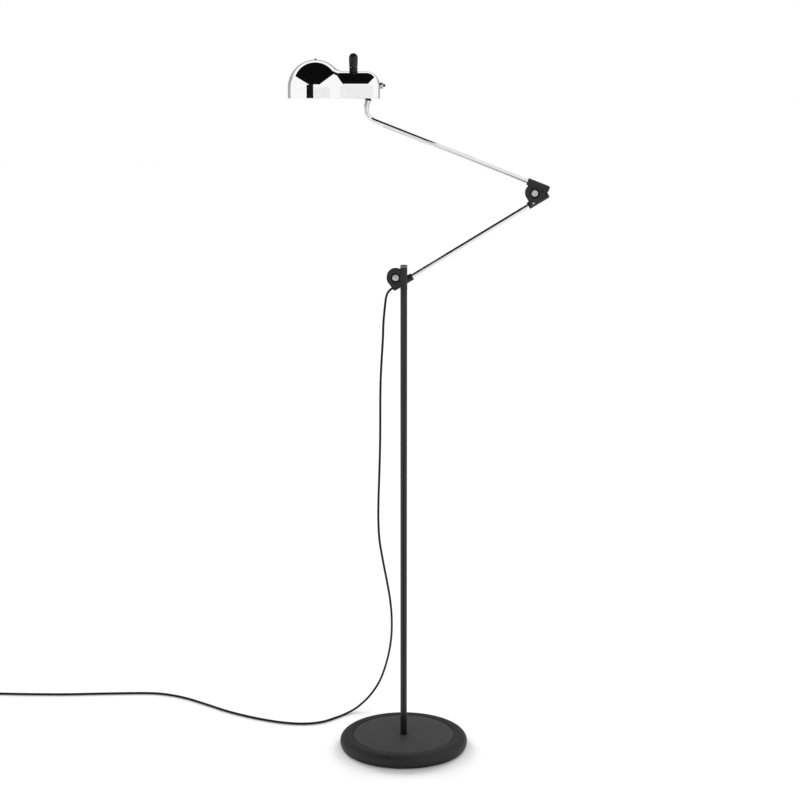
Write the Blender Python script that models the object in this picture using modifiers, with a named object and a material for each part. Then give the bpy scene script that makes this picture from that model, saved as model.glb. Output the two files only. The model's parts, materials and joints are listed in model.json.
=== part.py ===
"""Adjustable arm floor lamp: a weighted round base, a slim pole, two tube arms on friction
joints, a domed metal head with a handle, and a mains cord that lies on the floor.

Metres, +Z up. The origin is the centre of the base's underside, the pole stands on +Z, and
the arms lie in the XZ plane. Every moving group hangs from an empty on its joint's axis.
"""
from math import asin, cos, pi, radians, sin, sqrt, tan

import bmesh
import bpy
from mathutils import Vector

# ---------------------------------------------------------------- driving dimensions
GAP = 0.0003                    # clearance between pieces that touch
WELD = 1e-6                     # points closer than this are one point
SIDES = 16                      # facets round a small turned piece
BASE_SIDES = 40
DOME_SIDES = 32

BASE_RADIUS = 0.140
RIM_WIDEST_Z = 0.012
RIM_CREST_RADIUS = 0.122
RIM_CREST_Z = 0.027
RIM_FOOT_RADIUS = 0.1335
PLATE_RADIUS = 0.111
PLATE_TOP = 0.026
PLATE_THICKNESS = 0.0021
WEIGHT_RADIUS = 0.120
WEIGHT_BOTTOM = 0.0023
PAD_RADIUS = 0.118
PAD_THICKNESS = 0.002

POLE_RADIUS = 0.00725
POLE_FOOT = 0.0143              # height at which the pole starts, inside the weight
SPIGOT_RADIUS = 0.005
SPIGOT_FOOT = 0.954

SHOULDER_Z = 1.0355             # height of the shoulder hinge
LOWER_ARM_ANGLE = radians(31.3)
UPPER_ARM_ANGLE = radians(158.65)
LOWER_ARM = 0.3387              # shoulder hinge to elbow hinge
UPPER_ARM = 0.387               # elbow hinge to the corner of the bend, along the tube
BEND_RADIUS = 0.026
STUB = 0.034                    # corner of the bend to the end of the tube
STUB_LEAN = radians(13.9)       # from the vertical, towards +X
ARM_RADIUS = 0.005
ARM_BORE = 0.004

HINGE_OFFSET = 0.0175           # a clamp's hinge to the axis of its sleeve
CLAMP_PITCH = 0.0153            # middle of a front clamp to the middle of a rear one
SLEEVE_RADIUS = 0.0075
SLEEVE_LENGTH = 0.046
CLAMP_RADIUS = 0.0187
CLAMP_HALF = 0.00745            # half the thickness of a clamp's block
BOLT_RADIUS = 0.004
BOLT_ACROSS_FLATS = 0.013
COUNTERBORE_RADIUS = 0.010
HEAD_COUNTERBORE = 0.007
NUT_COUNTERBORE = 0.009
BUSH_RADIUS = 0.0068            # where the cord goes into the lower arm
SHOULDER_SHIFT = 0.008          # the lower arm's sleeve, along the arm from the hinge
POLE_SHIFT = -0.002             # the pole's sleeve, up from the hinge

PIN_HEIGHT = 0.012              # end of the tube to the tilt pins, along the stub
RIM_Z = -0.0072                 # the head's rim, below the tilt pins
DOME_X = -0.1102                # centre of the dome, from the tilt pins
DOME_RADIUS = 0.0575
DOME_SKIRT = 0.0205
TAIL_X = -0.0057                # centre of the tail's round end
TAIL_HALF_WIDTH = 0.0275
TAIL_HEIGHT = 0.054
TAIL_FILLET = 0.023
WALL = 0.0015
HANDLE_X = -0.0325
HANDLE_HEIGHT = 0.037
SWITCH_Z = 0.0185
HOLDER_Z = 0.0235
BULB_RADIUS = 0.020

CORD_RADIUS = 0.0025
COIL_TURN_RADIUS = 0.0275       # middle of the coil's turns
COIL_CENTRE = Vector((-1.0373, 0.2836, 0))
COIL_HEIGHT = 0.0095
CORD_Y = CLAMP_PITCH
CORD_ROUTE = [                  # from the lower arm's sleeve to the floor, then to the coil
    (-0.0241, CORD_Y, 1.0110), (-0.0284, CORD_Y, 1.0084), (-0.0338, 0.0155, 1.0020),
    (-0.0371, 0.0158, 0.9930), (-0.0392, 0.0163, 0.9790), (-0.0430, 0.0175, 0.9390),
    (-0.0445, 0.0190, 0.9005), (-0.0472, 0.0210, 0.8570), (-0.0493, 0.0230, 0.8140),
    (-0.0502, 0.0250, 0.7700), (-0.0504, 0.0275, 0.7260), (-0.0508, 0.0300, 0.6810),
    (-0.0518, 0.0330, 0.6370), (-0.0533, 0.0370, 0.5910), (-0.0548, 0.0420, 0.5460),
    (-0.0553, 0.0480, 0.4990), (-0.0530, 0.0560, 0.4519), (-0.0460, 0.0693, 0.4028),
    (-0.0376, 0.0881, 0.3512), (-0.0301, 0.1113, 0.2977), (-0.0267, 0.1400, 0.2420),
    (-0.0287, 0.1722, 0.1838), (-0.0379, 0.2057, 0.1236), (-0.0548, 0.2290, 0.0662),
    (-0.0782, 0.2306, 0.0287), (-0.1067, 0.2078, 0.0086), (-0.1331, 0.1803, 0.0027),
    (-0.1565, 0.1549, 0.0026), (-0.1860, 0.1295, 0.0026), (-0.2237, 0.1183, 0.0026),
    (-0.2685, 0.1234, 0.0026), (-0.3153, 0.1407, 0.0026), (-0.3636, 0.1661, 0.0026),
    (-0.4129, 0.1987, 0.0026), (-0.4648, 0.2414, 0.0026), (-0.5177, 0.2821, 0.0026),
    (-0.5686, 0.3075, 0.0026), (-0.6205, 0.3157, 0.0026), (-0.7120, 0.3126, 0.0026),
    (-0.8138, 0.3075, 0.0026), (-0.9155, 0.3095, 0.0026), (-0.9766, 0.3130, 0.0026),
    (-1.0193, 0.3136, 0.0026),
]
CORD_POINTS = 80                # along the tube
PLUG_LENGTH = 0.034
PLUG_RELIEF = 0.022

# ---------------------------------------------------------------- scene and materials


def clear_scene():
    for item in list(bpy.data.objects):
        bpy.data.objects.remove(item, do_unlink=True)


def collection(name):
    made = bpy.data.collections.new(name)
    bpy.context.scene.collection.children.link(made)
    return made


def paint(item, finish):
    """Give the object its own Principled material: (colour, roughness, metallic)."""
    colour, roughness, metallic = finish
    made = bpy.data.materials.new(item.name)
    made.use_nodes = True
    shader = made.node_tree.nodes["Principled BSDF"]
    shader.inputs["Base Color"].default_value = (*colour, 1)
    shader.inputs["Roughness"].default_value = roughness
    shader.inputs["Metallic"].default_value = metallic
    item.data.materials.clear()
    item.data.materials.append(made)
    return item


CHROME = ((0.80, 0.80, 0.81), 0.08, 1.0)
STEEL = ((0.62, 0.62, 0.63), 0.28, 1.0)
BRIGHT = ((0.83, 0.83, 0.82), 0.18, 1.0)
BLACK_PAINT = ((0.035, 0.035, 0.037), 0.42, 0.0)
BLACK_NYLON = ((0.040, 0.040, 0.042), 0.50, 0.0)
GREY_PAINT = ((0.060, 0.060, 0.062), 0.45, 0.0)
RUBBER = ((0.035, 0.035, 0.036), 0.65, 0.0)
IRON = ((0.12, 0.12, 0.12), 0.70, 0.5)
FELT = ((0.05, 0.05, 0.05), 0.95, 0.0)
PVC = ((0.018, 0.018, 0.018), 0.45, 0.0)
CERAMIC = ((0.85, 0.84, 0.80), 0.40, 0.0)
OPAL_GLASS = ((0.92, 0.92, 0.90), 0.15, 0.0)
BRASS = ((0.78, 0.62, 0.32), 0.25, 1.0)
WHITE_METAL = ((0.85, 0.85, 0.84), 0.50, 0.2)

ALONG_X = (0, pi / 2, 0)
ALONG_Y = (-pi / 2, 0, 0)
ALONG_Z = (0, 0, 0)

# ---------------------------------------------------------------- modelling tools


def put(item, parent, place=(0, 0, 0), turn=ALONG_Z):
    """Move the object to its collection, hang it from its parent and place it there."""
    for holder in list(item.users_collection):
        holder.objects.unlink(item)
    LAMP.objects.link(item)
    item.parent = parent
    item.location = place
    item.rotation_euler = turn
    return item


def axis_empty(name, parent, place, turn=ALONG_Z):
    return put(bpy.data.objects.new(name, None), parent, place, turn)


def smooth(mesh):
    mesh.shade_smooth()
    mesh.set_sharp_from_angle(angle=radians(32))


def cylinder(name, radius, start, end, parent, place, turn, sides=SIDES):
    """A rod along its own Z from start to end."""
    bpy.ops.mesh.primitive_cylinder_add(
        vertices=sides, radius=radius, depth=end - start, location=(0, 0, 0))
    made = bpy.context.object
    made.name = name
    for vertex in made.data.vertices:
        vertex.co.z += (start + end) / 2
    smooth(made.data)
    return put(made, parent, place, turn)


def box(name, low, high, parent):
    bpy.ops.mesh.primitive_cube_add(size=1, location=(0, 0, 0))
    made = bpy.context.object
    made.name = name
    for vertex in made.data.vertices:
        vertex.co = [lo + (hi - lo) * (c + 0.5) for lo, hi, c in zip(low, high, vertex.co)]
    return put(made, parent)


def turned(name, profile, parent, place=(0, 0, 0), turn=ALONG_Z, closed=False,
           sides=SIDES):
    """Turn a profile of (radius, height) points about the object's own Z axis."""
    mesh = bpy.data.meshes.new(name)
    links = [(n, n + 1) for n in range(len(profile) - 1)]
    if closed:
        links.append((len(profile) - 1, 0))
    mesh.from_pydata([(r, 0, z) for r, z in profile], links, [])
    made = put(bpy.data.objects.new(name, mesh), parent, place, turn)
    screw = made.modifiers.new("turn", "SCREW")
    screw.axis = "Z"
    screw.steps = sides
    screw.render_steps = sides
    screw.use_merge_vertices = True
    screw.merge_threshold = 1e-5
    screw.use_smooth_shade = True
    return made


def ring(name, inner, outer, start, end, parent, place=(0, 0, 0), turn=ALONG_Z, sides=SIDES):
    """A washer or tube: a turned rectangle between two radii."""
    profile = [(inner, end), (outer, end), (outer, start), (inner, start)]
    return turned(name, profile, parent, place, turn, closed=True, sides=sides)


def meshed(curve):
    """Replace a curve object by the mesh it makes, with its caps welded."""
    evaluated = curve.evaluated_get(bpy.context.evaluated_depsgraph_get())
    mesh = bpy.data.meshes.new_from_object(evaluated)
    work = bmesh.new()
    work.from_mesh(mesh)
    bmesh.ops.remove_doubles(work, verts=work.verts, dist=WELD)
    bmesh.ops.recalc_face_normals(work, faces=work.faces)
    work.to_mesh(mesh)
    work.free()
    smooth(mesh)
    name, parent = curve.name, curve.parent
    place, turn = tuple(curve.location), tuple(curve.rotation_euler)
    bpy.data.objects.remove(curve)
    return put(bpy.data.objects.new(name, mesh), parent, place, turn)


def outline(name, points, half, parent, place=(0, 0, 0), turn=ALONG_Z):
    """A flat piece: a closed outline in its own XY plane, half thick each way."""
    data = bpy.data.curves.new(name, "CURVE")
    data.dimensions = "2D"
    data.fill_mode = "BOTH"
    data.extrude = half
    spline = data.splines.new("POLY")
    spline.points.add(len(points) - 1)
    for point, (x, y) in zip(spline.points, points):
        point.co = (x, y, 0, 1)
    spline.use_cyclic_u = True
    made = put(bpy.data.objects.new(name, data), parent, place, turn)
    bpy.context.view_layer.update()
    return meshed(made)


def rod_along(name, points, radius, parent, roundness):
    """A rod or cord along a line of points, with filled ends."""
    data = bpy.data.curves.new(name, "CURVE")
    data.dimensions = "3D"
    data.bevel_depth = radius
    data.bevel_resolution = roundness
    data.use_fill_caps = True
    data.render_resolution_u = 0
    spline = data.splines.new("POLY")
    spline.points.add(len(points) - 1)
    for point, place in zip(spline.points, points):
        point.co = (*place, 1)
    made = put(bpy.data.objects.new(name, data), parent)
    bpy.context.view_layer.update()
    return meshed(made)


def combine(target, other, operation):
    step = target.modifiers.new(operation.lower(), "BOOLEAN")
    step.operation = operation
    step.solver = "EXACT"
    step.object = other
    for holder in list(other.users_collection):
        holder.objects.unlink(other)
    CUTTERS.objects.link(other)
    other.hide_render = True
    other.display_type = "WIRE"


def cut(target, cutter):
    combine(target, cutter, "DIFFERENCE")


def join(target, other):
    combine(target, other, "UNION")


def arc(centre, radius, start, end, steps):
    """Points on a circle from one angle to another, both ends included."""
    x, y = centre
    angles = [start + (end - start) * n / steps for n in range(steps + 1)]
    return [(x + radius * cos(a), y + radius * sin(a)) for a in angles]


def ellipse(centre, across, up, start, end, steps):
    x, y = centre
    angles = [start + (end - start) * n / steps for n in range(steps + 1)]
    return [(x + across * cos(a), y + up * sin(a)) for a in angles]


def hexagon(name, start, end, parent, place, turn):
    return cylinder(name, BOLT_ACROSS_FLATS / sqrt(3), start, end, parent, place, turn, 6)


def bolt(name, head, length, parent, place, turn):
    """A hexagon bolt: its head ends at its own origin and the shank runs along +Z."""
    made = paint(hexagon(name, -head, 0, parent, place, turn), BRIGHT)
    shank_start = -head / 2
    join(made, cylinder(name + "_shank", BOLT_RADIUS, shank_start, length, parent, place, turn))
    return made


def hex_nut(name, start, end, parent, place, turn):
    made = paint(hexagon(name, start, end, parent, place, turn), BRIGHT)
    reach = end - start
    cut(made, cylinder(name + "_thread", BOLT_RADIUS + GAP, start - reach, end + reach,
                       parent, place, turn))
    return made


# ---------------------------------------------------------------- base and pole


def base():
    pad = cylinder("base_foot_pad", PAD_RADIUS, 0, PAD_THICKNESS, None, (0, 0, 0), ALONG_Z,
                   BASE_SIDES)
    paint(pad, FELT)

    plate_bottom = PLATE_TOP - PLATE_THICKNESS
    weight_top = plate_bottom - GAP
    socket, bolt_hole, recess = POLE_RADIUS + 0.00035, BOLT_RADIUS + 0.0004, 0.013
    socket_floor, recess_roof = POLE_FOOT - GAP, 0.0096
    weight = [
        (socket, weight_top), (WEIGHT_RADIUS, weight_top), (WEIGHT_RADIUS, WEIGHT_BOTTOM),
        (recess, WEIGHT_BOTTOM), (recess, recess_roof), (bolt_hole, recess_roof),
        (bolt_hole, socket_floor), (socket, socket_floor),
    ]
    paint(turned("base_weight", weight, None, closed=True, sides=BASE_SIDES), IRON)
    paint(ring("base_top_plate", POLE_RADIUS + GAP, PLATE_RADIUS, plate_bottom, PLATE_TOP,
               None, sides=BASE_SIDES), GREY_PAINT)

    lip_radius, inner = PLATE_RADIUS + GAP, WEIGHT_RADIUS + GAP
    crest = (RIM_CREST_RADIUS, RIM_WIDEST_Z)
    foot = (RIM_FOOT_RADIUS, RIM_WIDEST_Z)
    rim = [(lip_radius, PLATE_TOP - 0.001), (lip_radius + 0.003, PLATE_TOP + 0.0004)]
    rim += ellipse(crest, BASE_RADIUS - crest[0], RIM_CREST_Z - crest[1], pi / 2, 0, 6)
    rim += ellipse(foot, BASE_RADIUS - foot[0], foot[1], 0, -pi / 2, 3)[1:]
    rim += [(inner, 0), (inner, plate_bottom), (lip_radius, plate_bottom)]
    paint(turned("base_rim", rim, None, closed=True, sides=BASE_SIDES), RUBBER)

    washer_top = recess_roof - GAP
    head_top = washer_top - 0.0019
    paint(ring("pole_foot_washer", bolt_hole, 0.010, head_top + GAP, washer_top, None), STEEL)
    bolt("pole_foot_bolt", 0.0045, 0.030, None, (0, 0, head_top), ALONG_Z)


def pole():
    bore = SPIGOT_RADIUS + GAP
    sleeve_bottom = SHOULDER_Z - SLEEVE_LENGTH / 2 + POLE_SHIFT
    sleeve_top = sleeve_bottom + SLEEVE_LENGTH
    paint(ring("pole", bore, POLE_RADIUS, POLE_FOOT, sleeve_bottom - GAP, None), BLACK_PAINT)

    foot, thread, top = POLE_FOOT + GAP, BOLT_RADIUS + GAP, 0.050
    plug = [(0, top), (SPIGOT_RADIUS, top), (SPIGOT_RADIUS, foot), (thread, foot),
            (thread, 0.040), (0, 0.040)]
    paint(turned("pole_foot_plug", plug, None), STEEL)

    cap_bottom = sleeve_top + GAP
    cap_top, cap_radius, chamfer = cap_bottom + 0.0059, 0.0075, 0.0008
    paint(cylinder("pole_spigot", SPIGOT_RADIUS, SPIGOT_FOOT, cap_top - 0.0023, None,
                   (0, 0, 0), ALONG_Z), STEEL)
    cap = [(0, cap_top), (cap_radius - chamfer, cap_top), (cap_radius, cap_top - chamfer),
           (cap_radius, cap_bottom), (bore, cap_bottom), (bore, cap_top - 0.0020),
           (0, cap_top - 0.0020)]
    paint(turned("pole_top_cap", cap, None), BRIGHT)


# ---------------------------------------------------------------- arm joints


def clamp(name, parent, side, shift, turn=ALONG_Z):
    """One half of an arm joint, hinge at the parent's origin and sleeve along its own X.

    side is 0 for the half in front, with the bolt's head, and 1 for the half behind it,
    with the nut. shift moves the sleeve along its axis.
    """
    middle = side * CLAMP_PITCH
    start = shift - SLEEVE_LENGTH / 2
    seat = axis_empty(name + "_seat", parent, (0, middle, 0), turn)
    sleeve_axis = (0, 0, -HINGE_OFFSET)
    made = cylinder(name, SLEEVE_RADIUS, start, start + SLEEVE_LENGTH, seat, sleeve_axis,
                    ALONG_X)
    shape = arc((0, 0), CLAMP_RADIUS, 0, pi, 16)
    shape += [(-CLAMP_RADIUS, -HINGE_OFFSET), (CLAMP_RADIUS, -HINGE_OFFSET)]
    join(made, outline(name + "_block", shape, CLAMP_HALF, seat, turn=(pi / 2, 0, 0)))
    past = 0.002
    cut(made, cylinder(name + "_bore", ARM_RADIUS + GAP, start - past,
                       start + SLEEVE_LENGTH + past, seat, sleeve_axis, ALONG_X))
    cut(made, cylinder(name + "_bolt_hole", BOLT_RADIUS + GAP, -CLAMP_HALF - past,
                       CLAMP_HALF + past, seat, (0, 0, 0), ALONG_Y))
    if side == 0:
        recess = (-CLAMP_HALF - past, -CLAMP_HALF + HEAD_COUNTERBORE)
    else:
        recess = (CLAMP_HALF - NUT_COUNTERBORE, CLAMP_HALF + past)
        cut(made, cylinder(name + "_washer_seat", 0.0123, -CLAMP_HALF - past,
                           -CLAMP_HALF + 0.0012, seat, (0, 0, 0), ALONG_Y))
    cut(made, cylinder(name + "_counterbore", COUNTERBORE_RADIUS, *recess, seat, (0, 0, 0),
                       ALONG_Y))
    return paint(made, BLACK_NYLON)


def hinge_hardware(joint, front, rear):
    """The bolt and friction washer go with the front clamp, the nut with the rear one."""
    head, bolt_seat = 0.0054, -CLAMP_HALF + HEAD_COUNTERBORE - GAP
    bolt_end = CLAMP_PITCH + CLAMP_HALF - 0.0006
    bolt(joint + "_bolt", head, bolt_end - bolt_seat, front, (0, bolt_seat, 0), ALONG_Y)
    washer = CLAMP_HALF + GAP
    hole = BOLT_RADIUS + GAP
    paint(ring(joint + "_friction_washer", hole, 0.012, washer, washer + 0.001, front,
               turn=ALONG_Y), STEEL)
    floor = CLAMP_PITCH + CLAMP_HALF - NUT_COUNTERBORE + GAP
    thickness = 0.0015
    paint(ring(joint + "_spring_washer", hole, 0.0074, floor, floor + thickness, rear,
               turn=ALONG_Y), STEEL)
    nut = floor + thickness + GAP
    hex_nut(joint + "_nut", nut, nut + 0.0064, rear, (0, 0, 0), ALONG_Y)


def set_screw(name, target, parent, along, middle, facing):
    """A grub screw in a sleeve's wall, facing -1 to the front or 1 to the back."""
    outer = middle + facing * (SLEEVE_RADIUS - 0.0001)
    inner = middle + facing * (ARM_RADIUS + 2 * GAP)
    low, high = sorted((outer, inner))
    place = (along, 0, -HINGE_OFFSET)
    cut_low, cut_high = sorted((outer + facing * 0.002, middle + facing * ARM_RADIUS))
    cut(target, cylinder(name + "_hole", 0.0028, cut_low, cut_high, parent, place, ALONG_Y))
    return paint(cylinder(name, 0.0025, low, high, parent, place, ALONG_Y, 24), BRIGHT)


def end_plug(name, parent, place, turn):
    """A cap on a sleeve's open end, its stem inside the bore. It faces along its own Z."""
    profile = [(0, 0.0022), (0.0060, 0.0022), (0.0072, 0.0012), (0.0072, GAP),
               (ARM_RADIUS, GAP), (ARM_RADIUS, -0.006), (0, -0.006)]
    return paint(turned(name, profile, parent, place, turn), BLACK_NYLON)


def shoulder(swivel):
    upright = (0, -pi / 2, 0)
    axis_x = -HINGE_OFFSET
    seat = axis_empty("shoulder_hinge", swivel, (axis_x, 0, 0))
    clamp("pole_clamp", seat, 0, POLE_SHIFT, upright)
    lower = axis_empty("lower_arm_axis", seat, (0, 0, 0), (0, -LOWER_ARM_ANGLE, 0))
    made = clamp("shoulder_arm_clamp", lower, 1, SHOULDER_SHIFT)
    sleeve_end = SHOULDER_SHIFT - SLEEVE_LENGTH / 2
    cut(made, cylinder("cord_exit", BUSH_RADIUS + GAP, -0.024, sleeve_end, lower,
                       (0, CLAMP_PITCH, -HINGE_OFFSET), ALONG_X))
    hinge_hardware("shoulder", seat, lower)
    set_screw("shoulder_set_screw", made, lower, 0.020, CLAMP_PITCH, 1)
    return lower


def lower_arm(lower):
    """The tube, the lead inside it, the bush where the cord comes in and the elbow end."""
    first, last = -0.012, LOWER_ARM + 0.014
    line = (0, CLAMP_PITCH, -HINGE_OFFSET)
    paint(ring("lower_arm_tube", ARM_BORE, ARM_RADIUS, first, last, lower, line, ALONG_X),
          CHROME)
    sleeve_end = SHOULDER_SHIFT - SLEEVE_LENGTH / 2
    bush_face, shank, chamfer = 0.003, -0.0025, 0.001
    hole, rounded = CORD_RADIUS + GAP, 0.0052
    # from the sleeve's end outwards, in the bush's own frame
    bush = [(hole, bush_face), (rounded, bush_face), (BUSH_RADIUS, bush_face - chamfer),
            (BUSH_RADIUS, GAP), (ARM_RADIUS, GAP), (ARM_RADIUS, shank), (hole, shank)]
    paint(turned("cord_bushing", bush, lower, (sleeve_end, CLAMP_PITCH, -HINGE_OFFSET),
                 (0, -pi / 2, 0), closed=True), RUBBER)
    lead = [(x, CLAMP_PITCH, -HINGE_OFFSET) for x in (sleeve_end - bush_face, 0.16, last - 0.004)]
    paint(rod_along("lower_arm_lead", lead, CORD_RADIUS, lower, 3), PVC)

    elbow = axis_empty("elbow_hinge", lower, (LOWER_ARM, 0, 0))
    made = clamp("elbow_lower_clamp", elbow, 1, -0.001)
    set_screw("elbow_lower_set_screw", made, elbow, -0.012, CLAMP_PITCH, -1)
    end = SLEEVE_LENGTH / 2 - 0.001
    end_plug("elbow_lower_end_plug", elbow, (end, CLAMP_PITCH, -HINGE_OFFSET), ALONG_X)
    return elbow


def upper_arm_line(steps=8):
    """The middle line of the upper tube: straight, round the bend, then up the stub."""
    turn = UPPER_ARM_ANGLE - (pi / 2 - STUB_LEAN)
    tangent = BEND_RADIUS * tan(turn / 2)
    centre = (UPPER_ARM - tangent, -HINGE_OFFSET - BEND_RADIUS)
    bend = arc(centre, BEND_RADIUS, pi / 2, pi / 2 - turn, steps)
    end = (UPPER_ARM + STUB * cos(turn), -HINGE_OFFSET - STUB * sin(turn))
    return bend, end, turn


def upper_arm(upper):
    made = clamp("elbow_upper_clamp", upper, 0, 0)
    set_screw("elbow_upper_set_screw", made, upper, -0.012, 0, 1)
    half = SLEEVE_LENGTH / 2
    end_plug("elbow_upper_end_plug", upper, (-half, 0, -HINGE_OFFSET), (0, -pi / 2, 0))

    bend, end, turn = upper_arm_line()
    start = (-0.014, -HINGE_OFFSET)
    along = (cos(turn), -sin(turn))
    line = [(x, 0, z) for x, z in [start, *bend, end]]
    tube = rod_along("upper_arm_tube", line, ARM_RADIUS, upper, 6)
    past = 0.002
    over = [(start[0] - past, 0, start[1]), *line[1:-1],
            (end[0] + past * along[0], 0, end[1] + past * along[1])]
    cut(tube, rod_along("upper_arm_bore", over, ARM_BORE, upper, 4))
    paint(tube, CHROME)

    lead_start = (start[0] + 0.004, 0, start[1])
    lead_end = (end[0] + 0.014 * along[0], 0, end[1] + 0.014 * along[1])
    lead = [lead_start, *line[1:-1], lead_end]
    paint(rod_along("upper_arm_lead", lead, 0.0022, upper, 3), PVC)
    level = UPPER_ARM_ANGLE + STUB_LEAN
    return axis_empty("head_swivel_axis", upper, (end[0], 0, end[1]), (0, level, 0))


# ---------------------------------------------------------------- head


def head_stem(stub):
    """The piece that turns on the tube's end and carries the two tilt pins."""
    bore, spigot = 0.0026, ARM_BORE - GAP
    profile = [(bore, PIN_HEIGHT), (0.005, PIN_HEIGHT), (0.005, 0.0033), (0.0066, 0.0033),
               (0.0072, 0.0027), (0.0072, GAP), (spigot, GAP), (spigot, -0.010),
               (bore, -0.010)]
    stem = turned("swivel_stem", profile, stub, closed=True)
    half, knuckle = 0.0082, 0.007
    centre = (0, 0, PIN_HEIGHT)
    join(stem, cylinder("swivel_stem_knuckle", knuckle, -half, half, stub, centre, ALONG_Y))
    cut(stem, cylinder("swivel_stem_bore", bore + 0.00005, -0.012, PIN_HEIGHT + 0.009, stub,
                       (0, 0, 0), ALONG_Z))
    pin, inner, ear = 0.002, 0.0044, 0.0103
    for side, tag in ((-1, "front"), (1, "back")):
        low, high = sorted((side * (inner - GAP), side * (half + 0.002)))
        cut(stem, cylinder("pin_hole_" + tag, pin + GAP, low, high, stub, centre, ALONG_Y))
        shape = [(0, inner), (pin, inner), (pin, ear), (0.0036, ear), (0.0036, ear + 0.0012),
                 (0.0030, ear + 0.0017), (0, ear + 0.0017)]
        shape.reverse()
        turn = (-side * pi / 2, 0, 0)
        paint(turned("tilt_pin_" + tag, shape, stub, centre, turn, sides=24), STEEL)
    return paint(stem, BLACK_PAINT)


def dome_profile(inset, drop):
    """Half the dome's section: the cap's quarter circle, then the skirt down past the rim."""
    radius, level = DOME_RADIUS - inset, RIM_Z + DOME_SKIRT
    cap = arc((0, level), radius, pi / 2, 0, 9)
    cap[0] = (0, level + radius)
    return [*cap, (radius, RIM_Z - drop), (0, RIM_Z - drop)]


def tail_block(name, head, inset, drop):
    """The long tail behind the dome, with its top edges rounded over."""
    width, top = TAIL_HALF_WIDTH - inset, RIM_Z + TAIL_HEIGHT - inset
    bottom = RIM_Z - drop
    shape = arc((TAIL_X, 0), width, -pi / 2, pi / 2, 14)
    shape += [(DOME_X, width), (DOME_X, -width)]
    middle, half = (top + bottom) / 2, (top - bottom) / 2
    made = outline(name, shape, half, head, (0, 0, middle))
    work = bmesh.new()
    work.from_mesh(made.data)
    edges = [e for e in work.edges if all(v.co.z > half - 1e-6 for v in e.verts)
             and any(len(f.verts) == 4 for f in e.link_faces)]
    bmesh.ops.bevel(work, geom=edges, offset=TAIL_FILLET - inset, segments=5,
                    affect="EDGES", profile=0.5)
    work.to_mesh(made.data)
    work.free()
    smooth(made.data)
    return made


def head_shell(head):
    place = (DOME_X, 0, 0)
    shell = turned("head_shell", dome_profile(0, 0), head, place, sides=DOME_SIDES)
    join(shell, tail_block("tail_outside", head, 0, 0))
    past = 0.004
    cut(shell, turned("dome_inside", dome_profile(WALL, past), head, place,
                      sides=DOME_SIDES))
    cut(shell, tail_block("tail_inside", head, WALL, past))
    top = RIM_Z + TAIL_HEIGHT
    cut(shell, cylinder("stud_hole", 0.0028, top - 0.006, top + 0.006, head,
                        (HANDLE_X, 0, 0), ALONG_Z, 24))
    apex = RIM_Z + DOME_SKIRT + DOME_RADIUS
    cut(shell, cylinder("apex_hole", 0.0018, apex - 0.006, apex + 0.006, head, place,
                        ALONG_Z, 16))
    wall_x = TAIL_X + TAIL_HALF_WIDTH
    cut(shell, cylinder("switch_hole", 0.0053, wall_x - 0.006, wall_x + 0.006, head,
                        (0, 0, SWITCH_Z), ALONG_X))
    return paint(shell, CHROME)


def tail_cover(head):
    """The plate that closes the tail from below, with a slot for the stem."""
    half, middle = 0.00065, RIM_Z + 0.00115
    width, front = TAIL_HALF_WIDTH - WALL - GAP, -0.052
    shape = arc((TAIL_X, 0), width, -pi / 2, pi / 2, 14) + [(front, width), (front, -width)]
    plate = outline("tail_cover", shape, half, head, (0, 0, middle))
    slot, back, ahead = 0.0095, 0.0035, -0.0060
    opening = arc((back, 0), slot, -pi / 2, pi / 2, 10)
    opening += arc((ahead, 0), slot, pi / 2, 3 * pi / 2, 10)
    cut(plate, outline("stem_slot", opening, 3 * half, head, (0, 0, middle)))
    return paint(plate, BLACK_NYLON)


def tilt_bracket(head):
    """A U of sheet steel: a top plate under the tail's roof and two ears on the pins."""
    low, high = 0.0411, 0.0426
    bracket = box("tilt_bracket", (-0.041, -0.0105, low), (0.004, 0.0105, high), head)
    cut(bracket, cylinder("plate_hole", 0.0028, low - 0.01, high + 0.01, head,
                          (HANDLE_X, 0, 0), ALONG_Z, 24))
    ear, thick = 0.005, 0.0015
    shape = arc((0, 0), ear, pi, 2 * pi, 12) + [(ear, high - GAP), (-ear, high - GAP)]
    for side, tag in ((-1, "front"), (1, "back")):
        place = (0, side * (0.0085 + thick / 2), 0)
        join(bracket, outline("ear_" + tag, shape, thick / 2, head, place,
                              (pi / 2, 0, 0)))
    cut(bracket, cylinder("ear_holes", 0.0023, -0.02, 0.02, head, (0, 0, 0), ALONG_Y, 24))
    return paint(bracket, STEEL)


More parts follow.
